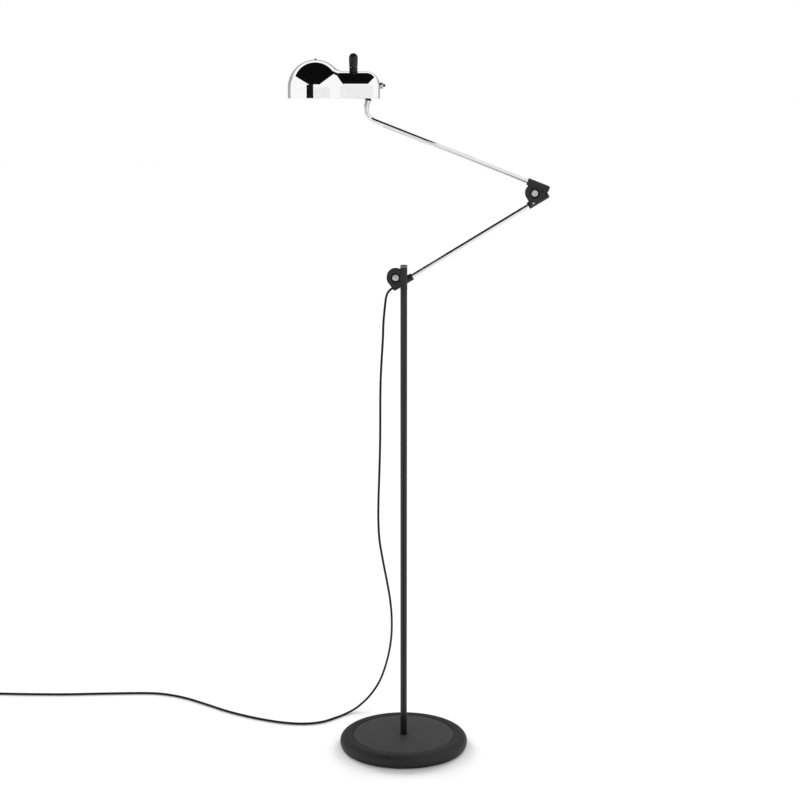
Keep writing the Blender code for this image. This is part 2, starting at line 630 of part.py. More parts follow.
def handle(head):
    """The grip on the tail: a stud through the roof, a collar and a tapered knob."""
    top, place = RIM_Z + TAIL_HEIGHT, (HANDLE_X, 0, RIM_Z + TAIL_HEIGHT)
    hole, radius, taper = 0.0028, 0.0092, 0.0086
    roof = top - WALL
    paint(ring("handle_spacer", hole, 0.0044, 0.0426 + GAP, roof - GAP, head,
               (HANDLE_X, 0, 0)), STEEL)
    paint(cylinder("handle_stud", 0.0025, 0.0352, top + 0.022, head, (HANDLE_X, 0, 0),
                   ALONG_Z, 24), STEEL)
    thread = hole / cos(pi / 6)
    nut = [(thread, -0.0006), (0.0048, -0.0006), (0.0048, -0.0036), (thread, -0.0036)]
    paint(turned("handle_nut", nut, head, (HANDLE_X, 0, 0.0396), closed=True, sides=6), STEEL)
    collar = [(hole, 0.0080), (0.0078, 0.0080), (0.0090, 0.0076), (0.0090, 0.0044),
              (0.0078, 0.0038), (0.0084, 0.0032), (0.0086, GAP), (hole, GAP)]
    paint(turned("handle_collar", collar, head, place, closed=True), BLACK_NYLON)
    bottom = 0.0080 + GAP
    knob = arc((0, HANDLE_HEIGHT - radius), radius, pi / 2, 0, 6)
    knob[0] = (0, HANDLE_HEIGHT)
    knob += [(taper, bottom + 0.0008), (taper - 0.0008, bottom), (hole, bottom),
             (hole, 0.0225), (0, 0.0225)]
    paint(turned("handle_knob", knob, head, place), BLACK_NYLON)


def dome_fittings(head):
    """The small screw at the apex and the heat shield that it holds under the dome."""
    apex = RIM_Z + DOME_SKIRT + DOME_RADIUS
    place = (DOME_X, 0, apex)
    screw = [(0, 0.0016), (0.0012, 0.0014), (0.0022, 0.0006), (0.0022, GAP), (0.0015, GAP),
             (0.0015, -0.0075), (0, -0.0075)]
    paint(turned("dome_screw", screw, head, place, sides=24), BLACK_PAINT)
    paint(ring("dome_spacer", 0.0018, 0.0040, -0.0046, -WALL - 0.0007, head, place, sides=24),
          STEEL)
    thick, curve = 0.0008, 0.050
    spread = asin(0.032 / curve)
    level = -0.0049 - curve
    outer = arc((0, level), curve, pi / 2, pi / 2 - spread, 5)
    inner = arc((0, level), curve - thick, pi / 2 - spread, pi / 2, 5)
    outer[0], inner[-1] = (0.0018, level + curve), (0.0018, level + curve - thick)
    paint(turned("heat_shield", outer + inner, head, place, closed=True), WHITE_METAL)


def lamp_holder(head):
    """The holder lies along the tail on an angle bracket, and the bulb points into the dome."""
    place = (0, 0, HOLDER_Z)
    plate = 0.0012
    back = -0.0238
    bracket = box("holder_bracket", (back, -0.009, 0.014), (back + plate, 0.009, 0.0408), head)
    join(bracket, box("holder_bracket_leg", (-0.040, -0.009, 0.0396), (back + GAP, 0.009, 0.0408),
                      head))
    cut(bracket, cylinder("leg_hole", 0.0028, 0.03, 0.05, head, (HANDLE_X, 0, 0), ALONG_Z, 24))
    paint(bracket, STEEL)

    holder_end, mouth = back - GAP, -0.0640
    radius, socket = 0.0112, 0.0078
    # in the holder's own frame Z runs from the bulb back towards the stem
    holder = [(0, holder_end), (0.0095, holder_end), (radius, holder_end - 0.002),
              (radius, mouth + 0.001), (radius - 0.001, mouth), (socket, mouth),
              (socket, mouth + 0.024), (0, mouth + 0.024)]
    paint(turned("lamp_holder", holder, head, place, ALONG_X), CERAMIC)
    cap_end = mouth + 0.0235
    cap = [(0, cap_end), (0.0030, cap_end), (0.0072, cap_end - 0.004), (0.0072, mouth - 0.001),
           (0, mouth - 0.001)]
    paint(turned("bulb_cap", cap, head, place, ALONG_X), BRASS)
    neck, neck_x = 0.0095, mouth - 0.001 - GAP
    start = asin(neck / BULB_RADIUS)
    ball = arc((0, DOME_X), BULB_RADIUS, pi / 2 - start, -pi / 2, 10)
    ball[-1] = (0, DOME_X - BULB_RADIUS)
    glass = [(0, neck_x), (0.0074, neck_x), (0.0078, neck_x - 0.006), *ball]
    paint(turned("bulb", glass, head, place, ALONG_X), OPAL_GLASS)

    paint(box("terminal_block", (-0.0205, -0.0075, 0.0285), (-0.0085, 0.0075, 0.0380), head),
          CERAMIC)
    lead = [(-0.0018, 0, 0.0092), (-0.0050, 0, 0.0130), (-0.0090, 0, 0.0180),
            (-0.0130, 0, 0.0230), (-0.0135, 0, 0.0279)]
    paint(rod_along("head_lead", lead, 0.0015, head, 2), PVC)


def push_switch(head):
    """The push-button switch in the tail's end wall, its button pressed along -X."""
    wall_x = TAIL_X + TAIL_HALF_WIDTH
    place = (wall_x, 0, SWITCH_Z)
    bore, travel, bush = 0.00315, 0.0025, 0.0050
    face = 0.0062
    body = [(0, -0.0125), (bore, -0.0125), (bore, face), (bush, face), (bush, -0.0028),
            (0.0070, -0.0028), (0.0070, -0.0165), (0, -0.0165)]
    paint(turned("switch_body", body, head, place, ALONG_X), BLACK_NYLON)
    nut = [(bush + GAP, 0.0066), (0.0058, 0.0066), (0.00615, 0.0062), (0.00615, GAP),
           (bush + GAP, GAP)]
    paint(turned("switch_nut", nut, head, place, ALONG_X, closed=True), CHROME)
    seat = axis_empty("switch_button_axis", head, place)
    radius, tip = 0.00285, face + 0.0050
    inner = -0.0125 + travel + 2 * GAP
    button = [(0, tip), (radius - 0.0008, tip), (radius, tip - 0.0008), (radius, inner),
              (0, inner)]
    paint(turned("switch_button", button, seat, (0, 0, 0), ALONG_X, sides=24), BLACK_NYLON)


# ---------------------------------------------------------------- cord, coil and plug


def smooth_line(points, count, crowding=1.25):
    """Points along a smooth curve through the given ones, closer together at its start."""
    ends = [2 * points[0] - points[1], *points, 2 * points[-1] - points[-2]]
    fine, per_span = [], 24
    for n in range(1, len(ends) - 2):
        a, b, c, d = ends[n - 1:n + 3]
        for k in range(per_span):
            t = k / per_span
            fine.append(0.5 * (2 * b + (c - a) * t + (2 * a - 5 * b + 4 * c - d) * t ** 2
                               + (3 * b - a - 3 * c + d) * t ** 3))
    fine.append(points[-1])
    travelled = [0.0]
    for one, other in zip(fine, fine[1:]):
        travelled.append(travelled[-1] + (other - one).length)
    spaced, span = [], 0
    for n in range(count):
        want = travelled[-1] * (n / (count - 1)) ** crowding
        while span < len(fine) - 2 and travelled[span + 1] < want:
            span += 1
        share = (want - travelled[span]) / (travelled[span + 1] - travelled[span])
        spaced.append(fine[span].lerp(fine[span + 1], min(share, 1.0)))
    return spaced


def cord(swivel):
    """The cord hangs from the lower arm's bush, lies on the floor and ends in its coil.

    It is placed in the arm's frame, because it goes round with the arm.
    """
    drop = Vector((0, 0, SHOULDER_Z))
    line = [p - drop for p in smooth_line([Vector(p) for p in CORD_ROUTE], CORD_POINTS)]
    paint(rod_along("mains_cord", line, CORD_RADIUS, swivel, 2), PVC)
    inner = COIL_TURN_RADIUS - 2 * CORD_RADIUS
    outer = COIL_TURN_RADIUS + 2 * CORD_RADIUS
    paint(ring("mains_cord_coil", inner, outer, 0, COIL_HEIGHT, swivel, COIL_CENTRE - drop,
               sides=36), PVC)


def plug(swivel):
    """A flat two-pin plug beside the coil, pointing along -Y, with its strain relief."""
    height = 0.0070
    start = COIL_CENTRE + Vector((-COIL_TURN_RADIUS, -0.0222, height - SHOULDER_Z))
    seat = axis_empty("plug_axis", swivel, start, (pi / 2, 0, 0))
    half_width, half_thick, shoulder_at = 0.0130, 0.0068, PLUG_RELIEF
    end = PLUG_RELIEF + PLUG_LENGTH
    shape = [(-0.0042, shoulder_at - 0.002), (0.0042, shoulder_at - 0.002),
             (0.0075, shoulder_at + 0.006), (half_width, shoulder_at + 0.014),
             (half_width, end - 0.003), (half_width - 0.003, end),
             (0.003 - half_width, end), (-half_width, end - 0.003),
             (-half_width, shoulder_at + 0.014), (-0.0075, shoulder_at + 0.006)]
    body = outline("plug_body", shape, half_thick, seat, turn=(pi / 2, 0, 0))
    relief = [(0, shoulder_at + 0.002), (0.0046, shoulder_at + 0.002), (0.0030, 0), (0, 0)]
    join(body, turned("plug_relief", relief, seat, sides=24))
    paint(body, PVC)
    pin, spread, length = 0.0020, 0.0095, 0.019
    for side, tag in ((-1, "left"), (1, "right")):
        paint(cylinder("plug_pin_" + tag, pin, end + GAP, end + length, seat,
                       (side * spread, 0, 0), ALONG_Z, 16), BRASS)


# ---------------------------------------------------------------- the lamp

clear_scene()
LAMP = collection("adjustable_arm_floor_lamp")
CUTTERS = collection("cutters")

base()
pole()
SWIVEL = axis_empty("arm_swivel_axis", None, (0, 0, SHOULDER_Z))
LOWER = shoulder(SWIVEL)
ELBOW = lower_arm(LOWER)
UPPER = axis_empty("upper_arm_axis", ELBOW, (0, 0, 0),
                   (0, LOWER_ARM_ANGLE - UPPER_ARM_ANGLE, 0))
hinge_hardware("elbow", UPPER, ELBOW)
STUB_AXIS = upper_arm(UPPER)
head_stem(STUB_AXIS)
HEAD = axis_empty("head_tilt_axis", STUB_AXIS, (0, 0, PIN_HEIGHT), (0, -STUB_LEAN, 0))
head_shell(HEAD)
tail_cover(HEAD)
tilt_bracket(HEAD)
handle(HEAD)
dome_fittings(HEAD)
lamp_holder(HEAD)
push_switch(HEAD)
cord(SWIVEL)
plug(SWIVEL)
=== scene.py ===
"""Adjustable arm floor lamp: the finished look of every piece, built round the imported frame.

The lamp has a round weighted base, a slim pole, two plated tube arms on moulded friction joints,
a domed plated head with a handle and a push switch, and a mains cord that lies on the floor.
"""
import json
from math import asin, atan2, cos, pi, radians, sin, tan

import bmesh
import bpy
import numpy as np
from bpy.props import FloatProperty, FloatVectorProperty, PointerProperty
from mathutils import Matrix, Vector


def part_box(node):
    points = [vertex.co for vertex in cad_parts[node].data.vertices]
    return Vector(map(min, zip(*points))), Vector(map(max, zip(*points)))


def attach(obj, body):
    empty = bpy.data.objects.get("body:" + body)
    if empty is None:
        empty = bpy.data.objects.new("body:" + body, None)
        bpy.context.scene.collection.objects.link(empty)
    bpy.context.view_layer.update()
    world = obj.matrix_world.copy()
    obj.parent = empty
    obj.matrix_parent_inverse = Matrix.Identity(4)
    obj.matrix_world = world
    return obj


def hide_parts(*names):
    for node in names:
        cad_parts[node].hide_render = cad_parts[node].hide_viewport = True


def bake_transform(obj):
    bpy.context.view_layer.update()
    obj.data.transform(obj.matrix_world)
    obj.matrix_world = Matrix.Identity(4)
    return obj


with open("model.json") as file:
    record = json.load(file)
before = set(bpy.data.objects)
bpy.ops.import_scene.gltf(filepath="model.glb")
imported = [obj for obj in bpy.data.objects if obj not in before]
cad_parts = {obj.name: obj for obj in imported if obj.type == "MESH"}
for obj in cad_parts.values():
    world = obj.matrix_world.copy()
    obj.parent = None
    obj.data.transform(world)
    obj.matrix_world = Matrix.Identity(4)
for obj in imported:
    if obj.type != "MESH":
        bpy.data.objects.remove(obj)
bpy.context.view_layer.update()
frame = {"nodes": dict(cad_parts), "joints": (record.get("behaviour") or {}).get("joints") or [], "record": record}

bl_info = {
    "name": "Adjustable arm floor lamp",
    "version": (1, 0, 0),
    "blender": (4, 5, 0),
    "location": "3D View > Sidebar > Floor lamp",
    "description": "Builds a floor lamp with two jointed arms and a domed metal head",
    "category": "Object",
}

# ---------------------------------------------------------------- places, from the frame

NODES = frame["nodes"]
JOINTS = {joint["name"]: joint for joint in frame["joints"]}


def joint_place(name):
    """The point on a joint's axis in the plane of the arms."""
    x, _, z = JOINTS[name]["pos_m"]
    return Vector((x, 0, z))


def middle_of(node):
    """The middle of a node's box."""
    low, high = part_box(node)
    return (low + high) / 2


def about_y(angle):
    return Matrix.Rotation(angle, 4, "Y")


def leaning(place, angle):
    """A frame at a place, turned so that its own X axis rises by the angle."""
    return Matrix.Translation(place) @ about_y(-angle)


SHOULDER = joint_place("shoulder_tilt")
ELBOW = joint_place("elbow")
TUBE_END = joint_place("head_swivel")
TILT_PIN = joint_place("head_tilt")
STUB_UP = Vector(JOINTS["head_swivel"]["axis"])
LOWER_ARM_ANGLE = atan2(ELBOW.z - SHOULDER.z, ELBOW.x - SHOULDER.x)
UPPER_ARM_ANGLE = radians(158.65)   # from the elbow up to the head
LOWER_AT = leaning(SHOULDER, LOWER_ARM_ANGLE)
ELBOW_AT = leaning(ELBOW, LOWER_ARM_ANGLE)
UPPER_AT = leaning(ELBOW, UPPER_ARM_ANGLE)
POLE_AT = leaning(SHOULDER, pi / 2)
STUB_AT = leaning(TUBE_END, -atan2(STUB_UP.x, STUB_UP.z))
HEAD_AT = Matrix.Translation(TILT_PIN)
ALONG_X = Matrix.Rotation(pi / 2, 4, "Y")
ALONG_Y = Matrix.Rotation(-pi / 2, 4, "X")
HINGE_OFFSET = 0.0175           # a clamp's hinge to the axis of its sleeve
CLAMP_PITCH = 0.0153            # middle of a front clamp to the middle of a rear one
CLAMP_HALF = 0.00745            # half of a clamp block's thickness
SLEEVE_HALF = 0.023             # half of a sleeve's length
SHOULDER_SHIFT = 0.008          # the shoulder's arm sleeve, along the arm from its hinge
RIM_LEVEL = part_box("head_shell")[0].z
HEAD_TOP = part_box("head_shell")[1].z
DOME_X = middle_of("dome_screw").x
HANDLE_X = middle_of("handle_knob").x
TAIL_END_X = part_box("head_shell")[1].x
TAIL_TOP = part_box("handle_collar")[0].z
HAIR = 0.0003                   # clearance between pieces that touch

# the cord from the lower arm's bush to the floor, and along the floor up to its coil
CORD_Y = CLAMP_PITCH
CORD_ROUTE = [
    (-0.0241, CORD_Y, 1.0110), (-0.0284, CORD_Y, 1.0084), (-0.0338, 0.0155, 1.0020),
    (-0.0371, 0.0158, 0.9930), (-0.0392, 0.0163, 0.9790), (-0.0430, 0.0175, 0.9390),
    (-0.0445, 0.0190, 0.9005), (-0.0472, 0.0210, 0.8570), (-0.0493, 0.0230, 0.8140),
    (-0.0502, 0.0250, 0.7700), (-0.0504, 0.0275, 0.7260), (-0.0508, 0.0300, 0.6810),
    (-0.0518, 0.0330, 0.6370), (-0.0533, 0.0370, 0.5910), (-0.0548, 0.0420, 0.5460),
    (-0.0553, 0.0480, 0.4990), (-0.0530, 0.0560, 0.4519), (-0.0460, 0.0693, 0.4028),
    (-0.0376, 0.0881, 0.3512), (-0.0301, 0.1113, 0.2977), (-0.0267, 0.1400, 0.2420),
    (-0.0287, 0.1722, 0.1838), (-0.0379, 0.2057, 0.1236), (-0.0548, 0.2290, 0.0662),
    (-0.0782, 0.2306, 0.0287), (-0.1067, 0.2078, 0.0086), (-0.1331, 0.1803, 0.0027),
    (-0.1565, 0.1549, 0.0026), (-0.1860, 0.1295, 0.0026), (-0.2237, 0.1183, 0.0026),
    (-0.2685, 0.1234, 0.0026), (-0.3153, 0.1407, 0.0026), (-0.3636, 0.1661, 0.0026),
    (-0.4129, 0.1987, 0.0026), (-0.4648, 0.2414, 0.0026), (-0.5177, 0.2821, 0.0026),
    (-0.5686, 0.3075, 0.0026), (-0.6205, 0.3157, 0.0026), (-0.7120, 0.3126, 0.0026),
    (-0.8138, 0.3075, 0.0026), (-0.9155, 0.3095, 0.0026), (-0.9766, 0.3130, 0.0026),
    (-1.0193, 0.3136, 0.0026),
]
COIL_CENTRE = Vector((-1.0373, 0.2836, 0))
PLUG_START = COIL_CENTRE + Vector((-0.0275, -0.0222, 0.0070))
PLUG_RELIEF = 0.022             # length of the plug's strain relief
PLUG_LENGTH = 0.034             # length of the plug's body

# ---------------------------------------------------------------- sizes and colours


def length(label, about, default):
    return FloatProperty(name=label, description=about, default=default, unit="LENGTH")


def colour(label, about, default):
    return FloatVectorProperty(name=label, description=about, default=default,
                               subtype="COLOR", size=3, min=0.0, max=1.0)


class LampSizes(bpy.types.PropertyGroup):
    """Sizes of the lamp's pieces."""

    base_radius: length("Base radius", "Widest radius of the base's rim",
                        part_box("base_rim")[1].x)
    plate_radius: length("Disc radius", "Radius of the disc set in the rim",
                         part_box("base_top_plate")[1].x)
    pole_radius: length("Pole radius", "Outside radius of the pole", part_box("pole")[1].x)
    tube_radius: length("Arm radius", "Outside radius of both arm tubes", 0.005)
    sleeve_radius: length("Sleeve radius", "Outside radius of a clamp's sleeve", 0.0075)
    clamp_radius: length("Clamp radius", "Round end of a clamp's block", 0.0187)
    bolt_flats: length("Bolt flats", "Hinge bolt's head across its flats", 0.013)
    dome_radius: length("Dome radius", "Outside radius of the head's dome", 0.0575)
    tail_half: length("Tail half width", "Half the width of the head's tail", 0.0275)
    tail_round: length("Tail edge", "Radius along the tail's top edge", 0.029)
    junction: length("Junction", "Hollow blend between the dome and the tail", 0.009)
    shell_wall: length("Shell wall", "Thickness of the head's sheet metal", 0.0013)
    bulb_radius: length("Bulb radius", "Radius of the bulb's glass", 0.020)
    cord_diameter: length("Cord diameter", "Outside diameter of the mains cord", 0.005)


class LampColours(bpy.types.PropertyGroup):
    """Base colours of the lamp's finishes."""

    paint: colour("Pole paint", "Black paint on the pole", (0.006, 0.006, 0.0063))
    disc: colour("Disc paint", "Grey paint on the base's disc", (0.020, 0.020, 0.0205))
    rim: colour("Base rim", "Soft moulding round the base", (0.0065, 0.0065, 0.0067))
    moulding: colour("Joints", "Black moulding of the clamps", (0.009, 0.009, 0.0094))
    cord: colour("Cord", "Black cover of the cord", (0.0025, 0.0025, 0.0025))
    plating: colour("Plating", "Bright plating on the head", (0.94, 0.94, 0.943))
    tubes: colour("Arm plating", "Bright plating on the arm tubes", (0.80, 0.80, 0.804))
    zinc: colour("Hardware", "Bright bolts, nuts and screws", (0.50, 0.50, 0.495))


def sizes():
    return bpy.context.scene.floor_lamp_sizes


def colours():
    return bpy.context.scene.floor_lamp_colours


# ---------------------------------------------------------------- mesh tools


def object_of(name, points, faces, at=None, normals=None, sharp=radians(30)):
    """A mesh object of these points and faces, placed by a matrix and shaded smooth."""
    mesh = bpy.data.meshes.new(name)
    if at is not None:
        turn = np.array(at)
        points = np.asarray(points, float) @ turn[:3, :3].T + turn[:3, 3]
        if normals is not None:
            normals = normals @ turn[:3, :3].T
    mesh.from_pydata([tuple(p) for p in points], [], faces)
    mesh.update()
    if normals is None:
        work = bmesh.new()
        work.from_mesh(mesh)
        bmesh.ops.recalc_face_normals(work, faces=work.faces)
        work.to_mesh(mesh)
        work.free()
    mesh.shade_smooth()
    if normals is not None:
        mesh.normals_split_custom_set_from_vertices([tuple(n) for n in normals])
    elif sharp:
        mesh.set_sharp_from_angle(angle=sharp)
    made = bpy.data.objects.new(name, mesh)
    bpy.context.scene.collection.objects.link(made)
    return made


def softened(profile, radius, steps=3):
    """A profile with each of its inner corners rounded."""
    line = [Vector(p) for p in profile]
    soft = [line[0]]
    for before, corner, after in zip(line, line[1:], line[2:]):
        to_before, to_after = before - corner, after - corner
        reach = min(radius, 0.45 * to_before.length, 0.45 * to_after.length)
        start = corner + to_before.normalized() * reach
        end = corner + to_after.normalized() * reach
        for n in range(steps + 1):
            t = n / steps
            soft.append(start * (1 - t) ** 2 + corner * 2 * t * (1 - t) + end * t ** 2)
    soft.append(line[-1])
    return [tuple(p) for p in soft]


def arc(x, y, radius, start, end, steps):
    angles = [start + (end - start) * n / steps for n in range(steps + 1)]
    return [(x + radius * cos(a), y + radius * sin(a)) for a in angles]


def turned(name, profile, at=None, segments=64, closed=False, soft=0.0004):
    """Turn a profile of (radius, height) points about the matrix's own Z axis."""
    if closed:
        middle = ((profile[0][0] + profile[-1][0]) / 2, (profile[0][1] + profile[-1][1]) / 2)
        profile = [middle, *profile, middle]
    line = softened(profile, soft) if soft else profile
    if closed:
        line = line[:-1]
    points, rings, faces = [], [], []
    for radius, height in line:
        if radius < 1e-7:
            rings.append([len(points)] * segments)
            points.append((0, 0, height))
            continue
        rings.append(list(range(len(points), len(points) + segments)))
        for n in range(segments):
            angle = 2 * pi * n / segments
            points.append((radius * cos(angle), radius * sin(angle), height))
    pairs = list(zip(rings, rings[1:]))
    if closed:
        pairs.append((rings[-1], rings[0]))
    for low, high in pairs:
        for n in range(segments):
            m = (n + 1) % segments
            face = [low[n], low[m], high[m], high[n]]
            distinct = list(dict.fromkeys(face))
            if len(distinct) > 2:
                faces.append(distinct)
    return object_of(name, points, faces, at)


def swept(name, line, radius, sides=16, at=None):
    """A round rod along a line of points, with flat ends."""
    line = [Vector(p) for p in line]
    tangents = [(b - a).normalized() for a, b in zip(line, line[1:])]
    tangents = [tangents[0], *[(a + b).normalized() for a, b in zip(tangents, tangents[1:])],
                tangents[-1]]
    side = tangents[0].orthogonal().normalized()
    points, faces = [], []
    for place, tangent in zip(line, tangents):
        side = (side - tangent * side.dot(tangent)).normalized()
        up = tangent.cross(side)
        for n in range(sides):
            angle = 2 * pi * n / sides
            points.append(place + (side * cos(angle) + up * sin(angle)) * radius)
    for ring in range(len(line) - 1):
        for n in range(sides):
            m = (n + 1) % sides
            a, b = ring * sides, (ring + 1) * sides
            faces.append([a + n, a + m, b + m, b + n])
    last = (len(line) - 1) * sides
    faces += [list(range(sides)), list(range(last, last + sides))]
    return object_of(name, points, faces, at, sharp=radians(50))


def moulded(name, distance, low, high, step, at=None):
    """The surface where a distance is zero, as an even mesh of quads with true normals."""
    low, high = np.array(low, float), np.array(high, float)
    counts = np.ceil((high - low) / step).astype(int) + 1
    axes = [low[a] + step * np.arange(counts[a]) for a in range(3)]
    inside = distance(np.stack(np.meshgrid(*axes, indexing="ij"), -1)) < 0
    n = counts - 1
    filled = sum(inside[i:n[0] + i, j:n[1] + j, k:n[2] + k].astype(int)
                 for i in (0, 1) for j in (0, 1) for k in (0, 1))
    crossed = (filled > 0) & (filled < 8)
    number = np.full(crossed.shape, -1)
    number[crossed] = np.arange(crossed.sum())
    points = (np.argwhere(crossed) + 0.5) * step + low
    for _ in range(12):             # short moves onto the surface
        slope = slope_of(distance, points)
        steep = np.maximum((slope ** 2).sum(-1, keepdims=True), 0.05)
        move = slope * distance(points)[:, None] / steep
        long = np.linalg.norm(move, axis=-1, keepdims=True)
        points = points - move * np.minimum(1, 0.4 * step / np.maximum(long, 1e-12))
    slope = slope_of(distance, points)
    normals = slope / np.maximum(np.linalg.norm(slope, axis=-1, keepdims=True), 1e-9)
    faces = []
    for axis in range(3):
        one, two = (axis + 1) % 3, (axis + 2) % 3
        before = np.take(inside, range(counts[axis] - 1), axis=axis)
        after = np.take(inside, range(1, counts[axis]), axis=axis)
        edges = np.argwhere(before != after)
        leaving = before[tuple(edges.T)]
        corners = []
        for step_one, step_two in ((-1, -1), (0, -1), (0, 0), (-1, 0)):
            cell = edges.copy()
            cell[:, one] += step_one
            cell[:, two] += step_two
            corners.append(number[tuple(cell.T)])
        quads = np.stack(corners, -1)
        quads[~leaving] = quads[~leaving][:, ::-1]
        faces += quads.tolist()
    return object_of(name, points, faces, at, normals)


def slope_of(distance, points, reach=0.00004):
    """The direction in which the distance grows."""
    slopes = []
    for axis in range(3):
        step = np.zeros(3)
        step[axis] = reach
        slopes.append((distance(points + step) - distance(points - step)) / (2 * reach))
    return np.stack(slopes, -1)


def joined(one, two, blend):
    """The union of two distances, with a hollow fillet where they meet."""
    mix = np.maximum(blend - np.abs(one - two), 0) / blend
    return np.minimum(one, two) - mix * mix * blend / 4


def without(body, tool, edge):
    """The body less the tool, with its new edge rounded."""
    mix = np.maximum(edge - np.abs(body + tool), 0) / edge
    return np.maximum(body, -tool) + mix * mix * edge / 4


def within(one, two, edge):
    """Where both distances are negative, with the shared edge rounded."""
    return without(one, -two, edge)


def rod_distance(p, axis, centre, radius, half, edge):
    """A round bar along one axis (0, 1 or 2) with rounded ends."""
    others = [n for n in range(3) if n != axis]
    across = np.hypot(p[..., others[0]] - centre[others[0]],
                      p[..., others[1]] - centre[others[1]]) - radius + edge
    along = np.abs(p[..., axis] - centre[axis]) - half + edge
    outside = np.hypot(np.maximum(across, 0), np.maximum(along, 0))
    return np.minimum(np.maximum(across, along), 0) + outside - edge


# ---------------------------------------------------------------- finishes


def surface(name, base, roughness, metallic=0.0):
    """A material with a Principled shader, and its texture coordinates."""
    made = bpy.data.materials.new(name)
    made.use_nodes = True
    tree = made.node_tree
    shader = tree.nodes["Principled BSDF"]
    shader.inputs["Base Color"].default_value = (*base, 1)
    shader.inputs["Roughness"].default_value = roughness
    shader.inputs["Metallic"].default_value = metallic
    place = tree.nodes.new("ShaderNodeTexCoord")
    return made, tree, shader, place.outputs["Object"]


def noise(tree, place, scale, detail=3.0, stretch=None):
    node = tree.nodes.new("ShaderNodeTexNoise")
    node.inputs["Scale"].default_value = scale
    node.inputs["Detail"].default_value = detail
    if stretch:
        mapping = tree.nodes.new("ShaderNodeMapping")
        mapping.inputs["Scale"].default_value = stretch
        tree.links.new(place, mapping.inputs["Vector"])
        place = mapping.outputs["Vector"]
    tree.links.new(place, node.inputs["Vector"])
    return node.outputs["Fac"]


NOISE_LOW, NOISE_HIGH = 0.3, 0.7    # where nearly all of a noise's values lie


def ranged(tree, value, low, high):
    """The value, spread over a range of its own."""
    node = tree.nodes.new("ShaderNodeMapRange")
    node.inputs["From Min"].default_value = NOISE_LOW
    node.inputs["From Max"].default_value = NOISE_HIGH
    node.inputs["To Min"].default_value = low
    node.inputs["To Max"].default_value = high
    tree.links.new(value, node.inputs["Value"])
    return node.outputs["Result"]


def shaded(tree, value, base, spread):
    """The base colour, darker and lighter by the spread where the value says."""
    ramp = tree.nodes.new("ShaderNodeValToRGB")
    ramp.color_ramp.elements[0].position = NOISE_LOW
    ramp.color_ramp.elements[1].position = NOISE_HIGH
    ramp.color_ramp.elements[0].color = (*[c * (1 - spread) for c in base], 1)
    ramp.color_ramp.elements[1].color = (*[min(1, c * (1 + spread)) for c in base], 1)
    tree.links.new(value, ramp.inputs["Fac"])
    return ramp.outputs["Color"]


def raised(tree, value, strength, height):
    node = tree.nodes.new("ShaderNodeBump")
    node.inputs["Strength"].default_value = strength
    node.inputs["Distance"].default_value = height
    tree.links.new(value, node.inputs["Height"])
    return node.outputs["Normal"]


def textured(name, base, rough, metallic=0.0, *, grain, bump, height, spread, patch,
             stretch=None, sockets=()):
    """A finish with fine grain in its relief and gloss, and broad patches in its colour."""
    made, tree, shader, place = surface(name, base, sum(rough) / 2, metallic)
    fine = noise(tree, place, grain, 4.0, stretch)
    broad = noise(tree, place, patch, 3.0)
    tree.links.new(shaded(tree, broad, base, spread), shader.inputs["Base Color"])
    tree.links.new(ranged(tree, fine, *rough), shader.inputs["Roughness"])
    tree.links.new(raised(tree, fine, bump, height), shader.inputs["Normal"])
    for socket, value in dict(sockets).items():
        shader.inputs[socket].default_value = value
    return made


def head_plating():
    return textured("head_plating", colours().plating, (0.025, 0.05), 1.0, grain=260,
                    bump=0.004, height=0.00005, spread=0.012, patch=30)


def tube_plating():
    return textured("tube_plating", colours().tubes, (0.05, 0.09), 1.0, grain=420,
                    bump=0.01, height=0.00005, spread=0.02, patch=40)


def pole_paint():
    return textured("pole_paint", colours().paint, (0.20, 0.30), grain=1400, bump=0.12,
                    height=0.00006, spread=0.10, patch=12,
                    sockets={"Specular IOR Level": 0.42})


def disc_paint():
    return textured("disc_paint", colours().disc, (0.48, 0.62), grain=1500, bump=0.30,
                    height=0.0001, spread=0.06, patch=9, sockets={"Specular IOR Level": 0.4})


def rim_moulding():
    return textured("rim_moulding", colours().rim, (0.50, 0.66), grain=1100, bump=0.35,
                    height=0.00012, spread=0.12, patch=11, sockets={"Specular IOR Level": 0.4})


def joint_moulding():
    return textured("joint_moulding", colours().moulding, (0.44, 0.60), grain=1700, bump=0.40,
                    height=0.00012, spread=0.14, patch=60,
                    sockets={"Specular IOR Level": 0.42})


def knob_moulding():
    return textured("knob_moulding", colours().moulding, (0.28, 0.40), grain=1200, bump=0.15,
                    height=0.00008, spread=0.10, patch=70,
                    sockets={"Specular IOR Level": 0.35})


def zinc_plate():
    return textured("zinc_plate", colours().zinc, (0.16, 0.34), 1.0, grain=500, bump=0.10,
                    height=0.00006, spread=0.10, patch=220)


def cap_painted_dark_reflection():
    # the cap is bright plating; its colour here is painted dark, a painted reflection of dark surroundings
    return textured("cap_painted_dark_reflection", (0.15, 0.15, 0.15), (0.10, 0.22), 1.0, grain=700,
                    bump=0.08, height=0.00005, spread=0.06, patch=150)


def sheet_steel():
    return textured("sheet_steel", (0.50, 0.50, 0.51), (0.26, 0.44), 1.0, grain=240,
                    bump=0.12, height=0.00008, spread=0.08, patch=60, stretch=(1, 1, 9))


def cord_cover():
    return textured("cord_cover", colours().cord, (0.36, 0.50), grain=1300, bump=0.18,
                    height=0.00008, spread=0.15, patch=25,
                    sockets={"Specular IOR Level": 0.25})


def brass_pin():
    return textured("brass_pin", (0.72, 0.55, 0.27), (0.16, 0.30), 1.0, grain=600,
                    bump=0.08, height=0.00005, spread=0.10, patch=180)


def holder_ceramic():
    return textured("holder_ceramic", (0.78, 0.76, 0.71), (0.22, 0.36), grain=500,
                    bump=0.12, height=0.0001, spread=0.05, patch=90)


